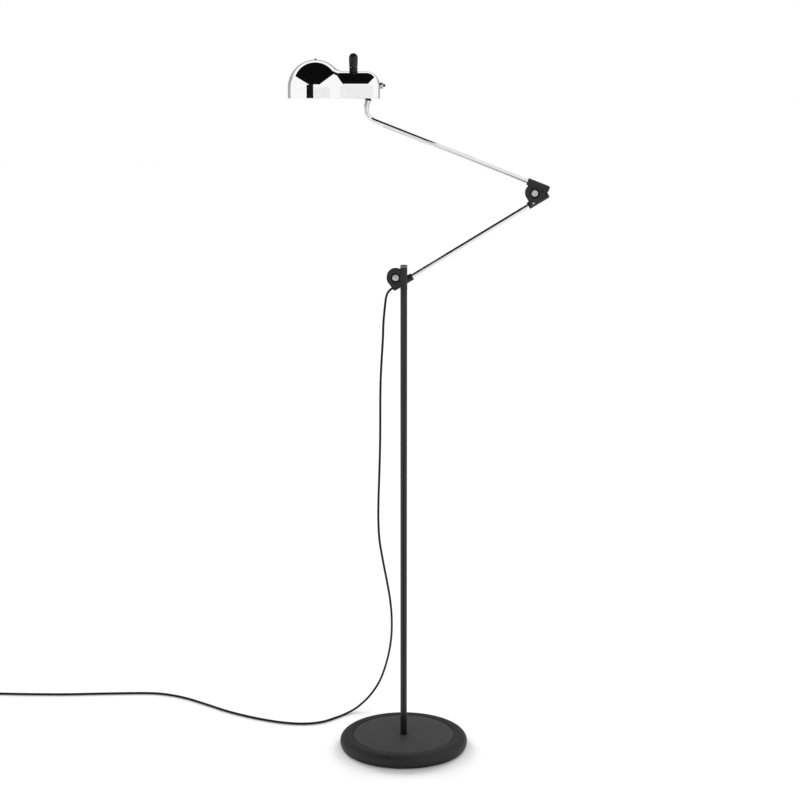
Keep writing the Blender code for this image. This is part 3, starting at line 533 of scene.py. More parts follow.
def opal_glass():
    return textured("opal_glass", (0.90, 0.90, 0.88), (0.08, 0.16), grain=220, bump=0.02,
                    height=0.00005, spread=0.02, patch=60,
                    sockets={"Subsurface Weight": 0.4, "Subsurface Scale": 0.004})


def white_enamel():
    return textured("white_enamel", (0.82, 0.82, 0.80), (0.30, 0.44), grain=700,
                    bump=0.15, height=0.0001, spread=0.04, patch=50)


def felt():
    return textured("felt", (0.035, 0.035, 0.036), (0.85, 1.0), grain=2600, bump=0.8,
                    height=0.0004, spread=0.35, patch=500, sockets={"Sheen Weight": 0.25})


def cast_iron():
    return textured("cast_iron", (0.10, 0.10, 0.10), (0.55, 0.78), 0.5, grain=420,
                    bump=0.5, height=0.0004, spread=0.25, patch=70)


def wear(piece, material, body, slot_name, *replaced):
    """Give a piece its finish and its body, and hide the nodes that it stands for. The slot name is not used."""
    piece.data.materials.clear()
    piece.data.materials.append(material)
    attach(piece, body)
    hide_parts(*replaced)


# ---------------------------------------------------------------- stage


CAMERA_PLACE = (-0.008, -3.465, 1.406)
CAMERA_DIP = radians(10.33)     # below level
CAMERA_LENS = 74.5              # millimetres
FLOOR_TONE = (0.62, 0.62, 0.62)
BLACK = (0.004, 0.004, 0.004)
PANELS_FRONT = -1.35            # where the panels in front of the lamp stand
FLAG_LEVEL = HEAD_TOP + 0.285   # the black panel over the head


def reflected_panel(name, corners, tone):
    """A flat panel that only shows in reflections."""
    panel = object_of(name, corners, [[0, 1, 2, 3]], sharp=None)
    made, _, shader, _ = surface(name, tone, 0.9)
    shader.inputs["Specular IOR Level"].default_value = 0.0
    panel.data.materials.append(made)
    panel.visible_camera = False
    panel.visible_diffuse = False
    panel.visible_shadow = False
    panel.visible_transmission = False


def square_panel(name, low, high, tone):
    """An upright or level panel between two opposite corners."""
    reflected_panel(name, [low, (high[0], low[1], low[2]), high, (low[0], high[1], high[2])],
                    tone)


def floor_flag():
    """A dark fan on the floor in front, which the pole reflects along its middle."""
    near, far, level = -0.15, -9.0, 0.01
    near_half, far_half = 0.03, 2.6
    reflected_panel("floor_flag", [(-near_half, near, level), (near_half, near, level),
                                   (far_half, far, level), (-far_half, far, level)],
                    (0.05, 0.05, 0.05))


def arm_flag():
    """A dark panel behind and above the lower arm, in line with it."""
    near, far = Vector((-0.09, 0.05, 0.15)), Vector((-0.09, 0.50, 0.15))
    reflected_panel("arm_flag", [SHOULDER + near, ELBOW + near, ELBOW + far, SHOULDER + far],
                    BLACK)


def soft_sun(name, tilt, swing, spread, strength):
    """An even light from behind the lamp, soft at the edges of its shadows."""
    data = bpy.data.lights.new(name, "SUN")
    data.angle = spread
    data.energy = strength
    made = bpy.data.objects.new(name, data)
    made.rotation_euler = (-tilt, 0, swing)
    made.visible_camera = False
    made.visible_glossy = False
    bpy.context.scene.collection.objects.link(made)


def studio_floor():
    """A wide pale floor, even but for a faint grain."""
    reach = 30
    floor = object_of("studio_floor", [(-reach, -reach, 0), (reach, -reach, 0),
                                       (reach, reach, 0), (-reach, reach, 0)],
                      [[0, 1, 2, 3]], sharp=None)
    made, tree, shader, place = surface("studio_floor", FLOOR_TONE, 0.8)
    grain = noise(tree, place, 60, 3.0)
    tree.links.new(shaded(tree, grain, FLOOR_TONE, 0.004), shader.inputs["Base Color"])
    shader.inputs["Specular IOR Level"].default_value = 0.1
    floor.data.materials.append(made)


class FLOORLAMP_OT_stage(bpy.types.Operator):
    """Lay the floor, hang the lights and set up the camera"""

    bl_idname = "floorlamp.stage"
    bl_label = "Stage"

    def execute(self, context):
        scene = context.scene
        lens = bpy.data.cameras.new("camera")
        lens.lens = CAMERA_LENS
        lens.clip_end = 100
        camera = bpy.data.objects.new("camera", lens)
        camera.location = CAMERA_PLACE
        camera.rotation_euler = (pi / 2 - CAMERA_DIP, 0, 0)
        scene.collection.objects.link(camera)
        scene.camera = camera

        world = bpy.data.worlds.new("studio")
        world.use_nodes = True
        sky = world.node_tree.nodes["Background"]
        sky.inputs["Color"].default_value = (1, 1, 1, 1)
        sky.inputs["Strength"].default_value = 1.0
        scene.world = world
        scene.view_settings.view_transform = "Standard"

        studio_floor()
        front, above = PANELS_FRONT, FLAG_LEVEL
        square_panel("overhead_flag", (-0.78, front, above), (0.26, 0.20, above), BLACK)
        square_panel("side_flag", (-1.12, front, 1.0), (-0.349, front, above), BLACK)
        square_panel("high_flag", (-2.6, -6.6, 3.4), (-0.5, 1.2, 3.4), BLACK)
        square_panel("back_panel", (-4.0, 2.6, -1.0), (4.0, 2.6, 3.0), (0.40, 0.40, 0.40))
        square_panel("soft_card", (-0.349, front, 0.5), (2.5, front, 1.52), (0.37, 0.37, 0.37))
        floor_flag()
        arm_flag()
        for name, swing in (("left_sun", 30), ("right_sun", -26)):
            soft_sun(name, radians(65), radians(swing), radians(28), 2.7)
        return {"FINISHED"}


# ---------------------------------------------------------------- cord and plug


def smooth_line(points, spacing):
    """Points an even distance apart along a smooth curve through the given ones."""
    points = [Vector(p) for p in points]
    ends = [2 * points[0] - points[1], *points, 2 * points[-1] - points[-2]]
    fine = []
    steps = 24
    for a, b, c, d in zip(ends, ends[1:], ends[2:], ends[3:]):
        for k in range(steps):
            t = k / steps
            fine.append(0.5 * (2 * b + (c - a) * t + (2 * a - 5 * b + 4 * c - d) * t ** 2
                               + (3 * b - a - 3 * c + d) * t ** 3))
    fine.append(points[-1])
    travelled = [0.0]
    for one, other in zip(fine, fine[1:]):
        travelled.append(travelled[-1] + (other - one).length)
    count = max(2, round(travelled[-1] / spacing))
    spaced, span = [], 0
    for n in range(count + 1):
        want = travelled[-1] * n / count
        while span < len(fine) - 2 and travelled[span + 1] < want:
            span += 1
        share = (want - travelled[span]) / (travelled[span + 1] - travelled[span])
        spaced.append(fine[span].lerp(fine[span + 1], min(share, 1.0)))
    return spaced, travelled[-1]


def coil_points(diameter):
    """Three turns anticlockwise: outer and inner on the floor, the third on top of them."""
    outer, inner, upper = 0.0300, 0.0248, 0.0275
    level = diameter / 2 + 0.0001
    top = level + 0.87 * diameter
    points, per_turn, turns = [], 24, 3.25
    for n in range(int(per_turn * turns) + 1):
        turn = n / per_turn
        swing = pi / 2 + 2 * pi * turn
        radius = np.interp(turn, [0.85, 1.15, 1.85, 2.15], [outer, inner, inner, upper])
        height = np.interp(turn, [1.80, 2.15], [level, top])
        points.append((COIL_CENTRE.x + radius * cos(swing),
                       COIL_CENTRE.y + radius * sin(swing), height))
    return points


def plug_distance(p):
    """A flat moulded plug with waisted shoulders and a ribbed, tapered strain relief."""
    x, y, z = p[..., 0], p[..., 1], p[..., 2]
    end = PLUG_RELIEF + PLUG_LENGTH
    neck, wide, thick, corner = 0.0052, 0.0130, 0.0068, 0.0030
    share = np.clip((z - PLUG_RELIEF - 0.002) / 0.014, 0, 1)
    half = neck + (wide - neck) * (share * share * (3 - 2 * share))
    across = np.abs(x) - half + corner
    through = np.abs(y) - thick + corner
    flat = np.hypot(np.maximum(across, 0), np.maximum(through, 0)) - corner
    flat += np.minimum(np.maximum(across, through), 0)
    along = np.abs(z - (PLUG_RELIEF + end) / 2) - PLUG_LENGTH / 2
    body = within(flat, along, 0.002)
    grip = np.hypot(np.abs(y) - 0.0082, z - PLUG_RELIEF - 0.024) - 0.0022
    body = without(body, grip, 0.0012)
    rib_pitch, rib_depth = 0.0030, 0.0004
    taper = 0.0030 + 0.0016 * np.clip(z / PLUG_RELIEF, 0, 1)
    taper = taper - rib_depth * (np.cos(z * 2 * pi / rib_pitch) < -0.2)
    relief = np.hypot(x, y) - taper
    reach = np.maximum(-z, z - PLUG_RELIEF - 0.004)
    return joined(body, within(relief, reach, 0.0005), 0.0015)


def plug_pin(name):
    """One of the plug's round pins: a slightly thicker root and a chamfered tip."""
    low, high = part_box(name)
    radius, reach = (high.x - low.x) / 2, high.y - low.y
    root, tip, slim = reach * 0.55, 0.001, radius * 0.94
    profile = [(0, 0), (radius, 0), (radius, root), (slim, reach * 0.56), (slim, reach - tip),
               (radius * 0.5, reach), (0, reach)]
    foot = Vector((middle_of(name).x, high.y, middle_of(name).z))
    pin = turned(name + "_turned", profile,
                 Matrix.Translation(foot) @ Matrix.Rotation(pi / 2, 4, "X"), 32)
    wear(pin, brass_pin(), "pole_head", "contact_brass", name)
    return pin


class FLOORLAMP_OT_cord(bpy.types.Operator):
    """Make the mains cord with its coil and its plug"""

    bl_idname = "floorlamp.cord"
    bl_label = "Mains cord and plug"

    def execute(self, context):
        diameter = sizes().cord_diameter
        before, inside = Vector((0, 0.006, 0)), Vector((0, -0.004, 0))
        tail = [PLUG_START + before, PLUG_START + inside]
        line, reach = smooth_line([*CORD_ROUTE, *coil_points(diameter), *tail], 0.005)
        cord = swept("mains_cord_cover", line, diameter / 2, 14)
        cord.data.materials.append(cord_cover())
        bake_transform(cord)
        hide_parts("mains_cord", "mains_cord_coil")

        half_wide, half_thick, spare = 0.016, 0.009, 0.002
        body = moulded("plug_moulding", plug_distance, (-half_wide, -half_thick, -spare),
                       (half_wide, half_thick, PLUG_RELIEF + PLUG_LENGTH + spare), 0.0006,
                       Matrix.Translation(PLUG_START) @ Matrix.Rotation(pi / 2, 4, "X"))
        wear(body, cord_cover(), "pole_head", "cord_cover", "plug_body")
        pins = [plug_pin(name) for name in ("plug_pin_left", "plug_pin_right")]
        return {"FINISHED"}


# ---------------------------------------------------------------- base and pole


def base_rim():
    """The soft rim: a lip round the disc, a rounded crest and side, and a hollow underneath."""
    radius = sizes().base_radius
    lip = sizes().plate_radius + HAIR + 0.0009
    crest_r, crest_z, widest = 0.122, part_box("base_rim")[1].z, 0.012
    foot_r, hollow_r, hollow_z = 0.1335, 0.1204, 0.0235
    profile = [(lip, hollow_z), (lip, 0.0256), (lip + 0.0012, 0.0263)]
    profile += [(crest_r + (radius - crest_r) * cos(a), widest + (crest_z - widest) * sin(a))
                for a in np.linspace(pi / 2, 0, 22)]
    profile += [(foot_r + (radius - foot_r) * cos(a), widest * (1 + sin(a)))
                for a in np.linspace(0, -pi / 2, 12)[1:]]
    profile += [(hollow_r, 0), (hollow_r, hollow_z)]
    rim = turned("base_rim_moulding", profile, segments=160, closed=True, soft=0.0003)
    wear(rim, rim_moulding(), "stand", "base_rim", "base_rim")


def base_disc():
    """The disc inside the rim, round the foot of the pole."""
    low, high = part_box("base_top_plate")
    disc, bore = sizes().plate_radius, sizes().pole_radius + HAIR
    edge = [(bore, low.z), (bore, high.z - 0.0003), (bore + 0.0004, high.z),
            (disc - 0.0010, high.z), (disc, high.z - 0.0009), (disc, low.z)]
    plate = turned("base_disc", edge, segments=160, closed=True, soft=0.0004)
    wear(plate, disc_paint(), "stand", "base_disc", "base_top_plate")


class FLOORLAMP_OT_base(bpy.types.Operator):
    """Make the base's rim and the disc set in it"""

    bl_idname = "floorlamp.base"
    bl_label = "Base"

    def execute(self, context):
        base_rim()
        base_disc()
        return {"FINISHED"}


POLE_BORE = 0.0053
POLE_RINGS = 20                 # keeps the long wall's facets short


def pole_tube():
    low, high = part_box("pole")
    radius = sizes().pole_radius
    wall = [(POLE_BORE, low.z)]
    wall += [(radius, low.z + (high.z - low.z) * n / POLE_RINGS) for n in range(POLE_RINGS + 1)]
    wall += [(POLE_BORE, high.z)]
    tube = turned("pole_tube", wall, segments=64, closed=True)
    wear(tube, pole_paint(), "stand", "pole_paint", "pole")


def pole_cap():
    """The cap on the pole: a chamfered skirt and a low button in the middle of its top."""
    low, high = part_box("pole_top_cap")
    wide, button, drop, wall = high.x, 0.0005, 0.0008, 0.0020
    cap = [(0, high.z), (wide * 0.42, high.z), (wide * 0.48, high.z - button),
           (wide - drop, high.z - button), (wide, high.z - button - drop), (wide, low.z),
           (POLE_BORE, low.z), (POLE_BORE, high.z - wall), (0, high.z - wall)]
    top = turned("pole_cap_turned", cap, soft=0.0003)
    # the cap's finish carries a painted dark reflection in place of its bright plating
    wear(top, cap_painted_dark_reflection(), "stand", "bright_hardware", "pole_top_cap")


class FLOORLAMP_OT_pole(bpy.types.Operator):
    """Make the pole and the cap on its top end"""

    bl_idname = "floorlamp.pole"
    bl_label = "Pole"

    def execute(self, context):
        pole_tube()
        pole_cap()
        return {"FINISHED"}


# ---------------------------------------------------------------- arm joints


FINE_EDGE = 0.0001              # a cutting tool's own edge


def clamp_distance(rear, shift, screw=None):
    """A clamp's half: a D-shaped block on a sleeve, bored for its tube and its bolt."""
    radius, sleeve = sizes().clamp_radius, sizes().sleeve_radius
    tube_bore, bolt_bore = sizes().tube_radius + HAIR, 0.0043
    pocket_radius, seat_radius, seat_depth = 0.0100, 0.0123, 0.0012
    screw_bore, screw_depth = 0.0028, 0.0037
    edge, seam_radius = 0.0009, 0.0011
    # the recess for the nut at the back, or for the bolt's head at the front
    pocket_depth, outside = (0.0090, CLAMP_HALF) if rear else (0.0070, -CLAMP_HALF)

    def distance(p):
        x, y, z = p[..., 0], p[..., 1], p[..., 2]
        low = np.maximum(np.abs(x) - radius, -HINGE_OFFSET - z)
        flat = np.where(z > 0, np.hypot(x, z) - radius, low) + edge
        thick = np.abs(y) - CLAMP_HALF + edge
        block = np.minimum(np.maximum(flat, thick), 0) - edge
        block += np.hypot(np.maximum(flat, 0), np.maximum(thick, 0))
        bar = rod_distance(p, 0, (shift, 0, -HINGE_OFFSET), sleeve, SLEEVE_HALF, 0.0007)
        body = np.maximum(joined(block, bar, 0.0016), np.abs(y) - sleeve)
        bore = rod_distance(p, 0, (shift, 0, -HINGE_OFFSET), tube_bore, 0.06, FINE_EDGE)
        body = without(body, bore, 0.0004)
        body = without(body, rod_distance(p, 1, (0, 0, 0), bolt_bore, 0.03, FINE_EDGE), 0.0004)
        if rear:
            seat = rod_distance(p, 1, (0, -CLAMP_HALF, 0), seat_radius, seat_depth, FINE_EDGE)
            body = without(body, seat, 0.0003)
        pocket = rod_distance(p, 1, (0, outside, 0), pocket_radius, pocket_depth, 0.0004)
        body = without(body, pocket, 0.0010)
        seam = np.hypot(z + HINGE_OFFSET - sleeve - 0.0004, np.abs(y) - CLAMP_HALF)
        body = without(body, seam - seam_radius, 0.0004)
        if screw:
            along, facing = screw
            hole = rod_distance(p, 1, (along, facing * 0.009, -HINGE_OFFSET), screw_bore,
                                screw_depth, FINE_EDGE)
            body = without(body, hole, 0.0004)
        return body

    return distance


CLAMPS = (
    # name, frame, rear half, shift of the sleeve, set screw (place, side), body, node
    ("pole_clamp_moulding", POLE_AT, False, -0.002, None, "pole_head", "pole_clamp"),
    ("shoulder_clamp_moulding", LOWER_AT, True, SHOULDER_SHIFT, (0.020, 1), "lower_arm",
     "shoulder_arm_clamp"),
    ("elbow_lower_moulding", ELBOW_AT, True, -0.001, (-0.012, -1), "lower_arm",
     "elbow_lower_clamp"),
    ("elbow_upper_moulding", UPPER_AT, False, 0.0, (-0.012, 1), "upper_arm",
     "elbow_upper_clamp"),
)


class FLOORLAMP_OT_clamps(bpy.types.Operator):
    """Make the four moulded clamps of the shoulder and the elbow"""

    bl_idname = "floorlamp.clamps"
    bl_label = "Joint clamps"

    def execute(self, context):
        plastic = joint_moulding()
        half, margin = 0.0076, 0.0021
        for name, at, rear, shift, screw, body, node in CLAMPS:
            middle = Matrix.Translation((0, CLAMP_PITCH if rear else 0, 0))
            reach = SLEEVE_HALF + abs(shift) + margin
            low = (-reach, -half - margin, -HINGE_OFFSET - half - margin)
            high = (reach, half + margin, sizes().clamp_radius + margin)
            made = moulded(name, clamp_distance(rear, shift, screw), low, high, 0.00068,
                           at @ middle)
            wear(made, plastic, body, "joint_plastic", node)
        return {"FINISHED"}


def hexagon_distance(p, flats, low, high, chamfered):
    """A hexagon bar along Z with its corners turned off at the chamfered ends."""
    x, y, z = p[..., 0], p[..., 1], p[..., 2]
    half = flats / 2
    faces = [np.abs(x * cos(a) + y * sin(a)) for a in (0, pi / 3, 2 * pi / 3)]
    sides = np.maximum(np.maximum(faces[0], faces[1]), faces[2]) - half
    body = within(sides, np.maximum(low - z, z - high), 0.0004)
    for end, way in chamfered:
        cone = (np.hypot(x, y) - half * 0.96 + (z - end) * way * 1.7) / 1.97
        body = within(body, cone, 0.0003)
    return body


def bolt_distance(flats, reach):
    """A bolt along Z: a head with a dished face, and a shank threaded at its far end."""
    tall, shank_radius = 0.0054, 0.0039
    pitch, thread_depth, threaded_from = 0.00125, 0.00012, reach * 0.62

    def distance(p):
        around, z = np.hypot(p[..., 0], p[..., 1]), p[..., 2]
        head = hexagon_distance(p, flats, 0, tall, [(0, -1)])
        head = without(head, np.hypot(around, z + 0.0115) - 0.0120, 0.0003)
        thread = thread_depth * np.cos(z * 2 * pi / pitch) * (z > threaded_from)
        shank = around - shank_radius + thread
        ends = np.maximum(-z + 0.001, z - reach)
        return joined(head, within(shank, ends, 0.0005), 0.0003)

    return distance


def nut_distance(flats, tall):
    """A nut along Z, chamfered at both ends."""
    bore = 0.0043

    def distance(p):
        body = hexagon_distance(p, flats, 0, tall, [(0, -1), (tall, 1)])
        return without(body, np.hypot(p[..., 0], p[..., 1]) - bore, 0.0006)

    return distance


def set_screw_distance(deep):
    """A headless screw along Z with a hexagon socket in its upper half."""
    radius, socket_flats = 0.0025, 0.0026

    def distance(p):
        rod = rod_distance(p, 2, (0, 0, 0), radius, deep / 2, 0.0003)
        return without(rod, hexagon_distance(p, socket_flats, 0.0001, deep, []), 0.0002)

    return distance


SET_SCREWS = (
    # node, body, the side that it is driven from
    ("shoulder_set_screw", "lower_arm", 1),
    ("elbow_lower_set_screw", "lower_arm", -1),
    ("elbow_upper_set_screw", "upper_arm", 1),
)


class FLOORLAMP_OT_hinge_bolts(bpy.types.Operator):
    """Make the hexagon bolts, nuts and set screws of the arm joints"""

    bl_idname = "floorlamp.hinge_bolts"
    bl_label = "Bolts, nuts and screws"

    def execute(self, context):
        zinc = zinc_plate()
        flats = sizes().bolt_flats
        turn = Matrix.Rotation(radians(12), 4, "Z")
        half, spare, step = flats * 0.62, 0.001, 0.00042
        for joint, place, front in (("shoulder", SHOULDER, "pole_head"),
                                    ("elbow", ELBOW, "upper_arm")):
            low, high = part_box(joint + "_bolt")
            reach = high.y - low.y
            at = Matrix.Translation((place.x, low.y, place.z)) @ ALONG_Y @ turn
            bolt = moulded(joint + "_hex_bolt", bolt_distance(flats, reach),
                           (-half, -half, -spare), (half, half, reach + spare), step, at)
            wear(bolt, zinc, front, "bright_hardware", joint + "_bolt")

            low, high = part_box(joint + "_nut")
            tall = high.y - low.y
            at = Matrix.Translation((place.x, low.y, place.z)) @ ALONG_Y @ turn
            nut = moulded(joint + "_hex_nut", nut_distance(flats, tall),
                          (-half, -half, -spare), (half, half, tall + spare), step, at)
            wear(nut, zinc, "lower_arm", "bright_hardware", joint + "_nut")

        half, step = 0.0032, 0.00022
        for node, body, facing in SET_SCREWS:
            low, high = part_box(node)
            deep = high.y - low.y
            at = Matrix.Translation(middle_of(node)) @ Matrix.Rotation(-facing * pi / 2, 4, "X")
            made = moulded(node + "_turned", set_screw_distance(deep), (-half, -half, -deep),
                           (half, half, deep), step, at)
            wear(made, zinc, body, "bright_hardware", node)
        return {"FINISHED"}


# ---------------------------------------------------------------- arms


def upper_line():
    """The middle line of the upper tube, in the upper arm's own frame."""
    lean = atan2(STUB_UP.x, STUB_UP.z)
    turn = UPPER_ARM_ANGLE - (pi / 2 - lean)
    start, corner, stub, bend = -0.014, 0.387, 0.034, 0.026
    straight_end = corner - bend * tan(turn / 2)
    rounded = arc(straight_end, -HINGE_OFFSET - bend, bend, pi / 2, pi / 2 - turn, 40)
    straight = [(start + (straight_end - start) * n / 24, -HINGE_OFFSET) for n in range(24)]
    end = (corner + stub * cos(turn), -HINGE_OFFSET - stub * sin(turn))
    last = rounded[-1]
    rise = [(last[0] + (end[0] - last[0]) * n / 4, last[1] + (end[1] - last[1]) * n / 4)
            for n in range(1, 5)]
    return [(x, 0, z) for x, z in [*straight, *rounded, *rise]]


def lower_line():
    """The middle line of the lower tube, in the lower arm's own frame."""
    first, last = -0.012, (ELBOW - SHOULDER).length + 0.014
    return [(first + (last - first) * n / 30, CLAMP_PITCH, -HINGE_OFFSET) for n in range(31)]


class FLOORLAMP_OT_arms(bpy.types.Operator):
    """Make both plated arm tubes"""

    bl_idname = "floorlamp.arms"
    bl_label = "Arm tubes"

    def execute(self, context):
        radius = sizes().tube_radius
        plating = tube_plating()
        lower = swept("lower_tube", lower_line(), radius, 40, LOWER_AT)
        wear(lower, plating, "lower_arm", "arm_chrome", "lower_arm_tube", "lower_arm_lead")
        upper = swept("upper_tube", upper_line(), radius, 40, UPPER_AT)
        wear(upper, plating, "upper_arm", "arm_chrome", "upper_arm_tube")
        return {"FINISHED"}


def sleeve_plug(name, body, at, node, plastic):
    """A plug with a low domed head, from the sleeve's end outwards."""
    stalk, head, depth = 0.0050, 0.0072, 0.006
    profile = [(0, 0.0023), (0.0030, 0.0022), (0.0060, 0.0019), (head, 0.0010), (head, HAIR),
               (stalk, HAIR), (stalk, -depth), (0, -depth)]
    wear(turned(name, profile, at, 48), plastic, body, "joint_plastic", node)


def cord_bush(plastic):
    """The flanged bush that the cord goes through into the lower arm."""
    end = SLEEVE_HALF - SHOULDER_SHIFT
    hole, neck, collar = 0.0028, 0.0050, 0.0068
    inside, flange, nose = end - 0.0025, end + 0.0018, end + 0.0030
    profile = [(hole, inside), (neck, inside), (neck, end + HAIR), (collar, end + HAIR),
               (collar, flange), (0.0054, nose), (0.0034, nose), (hole, end + 0.0024)]
    at = LOWER_AT @ Matrix.Translation((0, CLAMP_PITCH, -HINGE_OFFSET)) @ about_y(-pi / 2)
    wear(turned("cord_bush", profile, at, 48, closed=True), plastic, "lower_arm",
         "joint_plastic", "cord_bushing")


class FLOORLAMP_OT_sleeve_ends(bpy.types.Operator):
    """Make the plugs in the elbow's sleeves and the bush where the cord goes in"""

    bl_idname = "floorlamp.sleeve_ends"
    bl_label = "Sleeve plugs and cord bush"

    def execute(self, context):
        plastic = joint_moulding()
        lower = Matrix.Translation((SLEEVE_HALF - 0.001, CLAMP_PITCH, -HINGE_OFFSET))
        sleeve_plug("elbow_lower_cap", "lower_arm", ELBOW_AT @ lower @ ALONG_X,
                    "elbow_lower_end_plug", plastic)
        upper = Matrix.Translation((-SLEEVE_HALF, 0, -HINGE_OFFSET))
        sleeve_plug("elbow_upper_cap", "upper_arm", UPPER_AT @ upper @ about_y(-pi / 2),
                    "elbow_upper_end_plug", plastic)
        cord_bush(plastic)
        return {"FINISHED"}


# ---------------------------------------------------------------- head


def head_distance(p):
    """The head's outer form, from the tilt pins: a dome blended into a long round tail."""
    radius, half, edge = sizes().dome_radius, sizes().tail_half, sizes().tail_round
    dome_x, top = DOME_X - TILT_PIN.x, TAIL_TOP - TILT_PIN.z
    level = HEAD_TOP - TILT_PIN.z - radius
    tail_x = TAIL_END_X - TILT_PIN.x - half
    x, y, z = p[..., 0], p[..., 1], p[..., 2]
    dome = np.sqrt((x - dome_x) ** 2 + y ** 2 + np.maximum(z - level, 0) ** 2) - radius
    nearest = np.clip(x, dome_x, tail_x)
    flat = np.hypot(x - nearest, y) - (half - edge)
    over = z - (top - edge)
    tail = np.hypot(np.maximum(flat, 0), np.maximum(over, 0)) - edge
    tail += np.minimum(np.maximum(flat, over), 0)
    return joined(dome, tail, sizes().junction)


ROWS, COLUMNS = 96, 288         # the shell's mesh, up and around
HEART_X = -0.079                # where the rays that find the shell start, from the pins


def shell_rings(inset):
    """Rings of points where rays from the heart leave the head, from the rim to the top."""
    heart = np.array([HEART_X, 0.0, RIM_LEVEL - TILT_PIN.z])
    swing = 2 * pi * np.arange(COLUMNS) / COLUMNS
    swing = swing - 0.36 * np.sin(2 * swing)    # closer together towards the two ends
    rise = pi / 2 * np.linspace(0, 1, ROWS + 1)[:-1]
    a, e = np.meshgrid(swing, rise)
    ways = np.stack([np.cos(e) * np.cos(a), np.cos(e) * np.sin(a), np.sin(e)], -1)
    ways = np.concatenate([ways.reshape(-1, 3), [[0, 0, 1]]])
    furthest, halvings = 0.16, 34
    near, far = np.zeros(len(ways)), np.full(len(ways), furthest)
    for _ in range(halvings):
        middle = (near + far) / 2
        inside = head_distance(heart + ways * middle[:, None]) < -inset
        near, far = np.where(inside, middle, near), np.where(inside, far, middle)
    points = heart + ways * ((near + far) / 2)[:, None]
    slope = slope_of(head_distance, points)
    return points, slope / np.linalg.norm(slope, axis=-1, keepdims=True)


def rolled_lip(outer, inner, outer_normals, steps):
    """The rings between the shell's two rims, and the way that each faces."""
    drop, down = 0.0006, np.array([0, 0, -1])
    rings, ways = [], []
    for n in range(1, steps):
        angle = pi * n / steps
        share = (1 - cos(angle)) / 2
        ring = outer[:COLUMNS] * (1 - share) + inner[:COLUMNS] * share
        rings.append(ring + down * drop * sin(angle))
        way = outer_normals[:COLUMNS] * cos(angle) + down * sin(angle)
        ways.append(way / np.linalg.norm(way, axis=-1, keepdims=True))
    return rings, ways


def dome_faces(start, size, way):
    """One skin's faces: bands of quads, then a fan of triangles at the top."""
    faces = []
    for row in range(ROWS):
        for n in range(COLUMNS):
            m = (n + 1) % COLUMNS
            a = start + row * COLUMNS
            if row == ROWS - 1:
                face = [a + n, a + m, start + size - 1]
            else:
                face = [a + n, a + m, a + COLUMNS + m, a + COLUMNS + n]
            faces.append(face[::way])
    return faces


class FLOORLAMP_OT_head(bpy.types.Operator):
    """Make the head's plated shell"""

    bl_idname = "floorlamp.head"
    bl_label = "Head shell"

    def execute(self, context):
        outer, outer_normals = shell_rings(0)
        inner, inner_normals = shell_rings(sizes().shell_wall)
        steps = 5
        lip, lip_normals = rolled_lip(outer, inner, outer_normals, steps)
        points = np.concatenate([outer, inner, *lip])
        normals = np.concatenate([outer_normals, -inner_normals, *lip_normals])
        size = len(outer)
        faces = dome_faces(0, size, 1) + dome_faces(size, size, -1)
        bands = [0, *[2 * size + n * COLUMNS for n in range(steps - 1)], size]
        for one, two in zip(bands, bands[1:]):
            for n in range(COLUMNS):
                m = (n + 1) % COLUMNS
                faces.append([one + n, two + n, two + m, one + m])
        shell = object_of("head_shell_plated", points, faces, HEAD_AT, normals)
        wear(shell, head_plating(), "head", "head_chrome", "head_shell")
        return {"FINISHED"}


def handle_collar(at, plastic):
    """The collar that the handle stands on, narrower below its middle."""
    hole, wide = 0.0028, 0.0089
    profile = [(hole, 0.0080), (0.0078, 0.0080), (wide, 0.0075), (wide, 0.0046),
               (0.0079, 0.0039), (0.0083, 0.0032), (0.0086, HAIR), (hole, HAIR)]
    collar = turned("handle_collar_turned", profile, at, 72, closed=True, soft=0.0003)
    wear(collar, plastic, "head", "handle_plastic", "handle_collar")


def handle_knob(at, plastic):
    """The long knob: a round top on a slightly tapered grip, bored for its stud."""
    low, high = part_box("handle_knob")
    base = TAIL_TOP - HAIR
    radius, tall, bottom = (high.x - low.x) / 2, high.z - base, low.z - base
    stud_hole, stud_top = 0.0028, 0.0225
    profile = [(0, tall), *arc(0, tall - radius, radius, pi / 2, 0, 24)[1:]]
    profile += [(radius - 0.0003, bottom + 0.010), (0.0086, bottom + 0.0010),
                (0.0079, bottom), (stud_hole, bottom), (stud_hole, stud_top), (0, stud_top)]
    knob = turned("handle_knob_turned", profile, at, 72, soft=0.0003)
    wear(knob, plastic, "head", "handle_plastic", "handle_knob")


def dome_screw(plastic):
    """The small round-headed screw on top of the dome."""
    head, shank, under = 0.0028, 0.0015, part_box("dome_screw")[0].z - HEAD_TOP
    profile = [(0, 0.0022), (0.0009, 0.0023), (0.0020, 0.0019), (head, 0.0009), (head, HAIR),
               (shank, HAIR), (shank, under), (0, under)]
    screw = turned("dome_screw_turned", profile, Matrix.Translation((DOME_X, 0, HEAD_TOP)), 40,
                   soft=0.0002)
    wear(screw, plastic, "head", "handle_plastic", "dome_screw")


class FLOORLAMP_OT_handle(bpy.types.Operator):
    """Make the handle's collar and knob, and the small screw on the dome"""

    bl_idname = "floorlamp.handle"
    bl_label = "Handle"

    def execute(self, context):
        plastic = knob_moulding()
        at = Matrix.Translation((HANDLE_X, 0, TAIL_TOP - HAIR))
        handle_collar(at, plastic)
        handle_knob(at, plastic)
        dome_screw(plastic)
        return {"FINISHED"}


SWITCH_BUSH = 0.0050            # outside radius of the switch's threaded bush


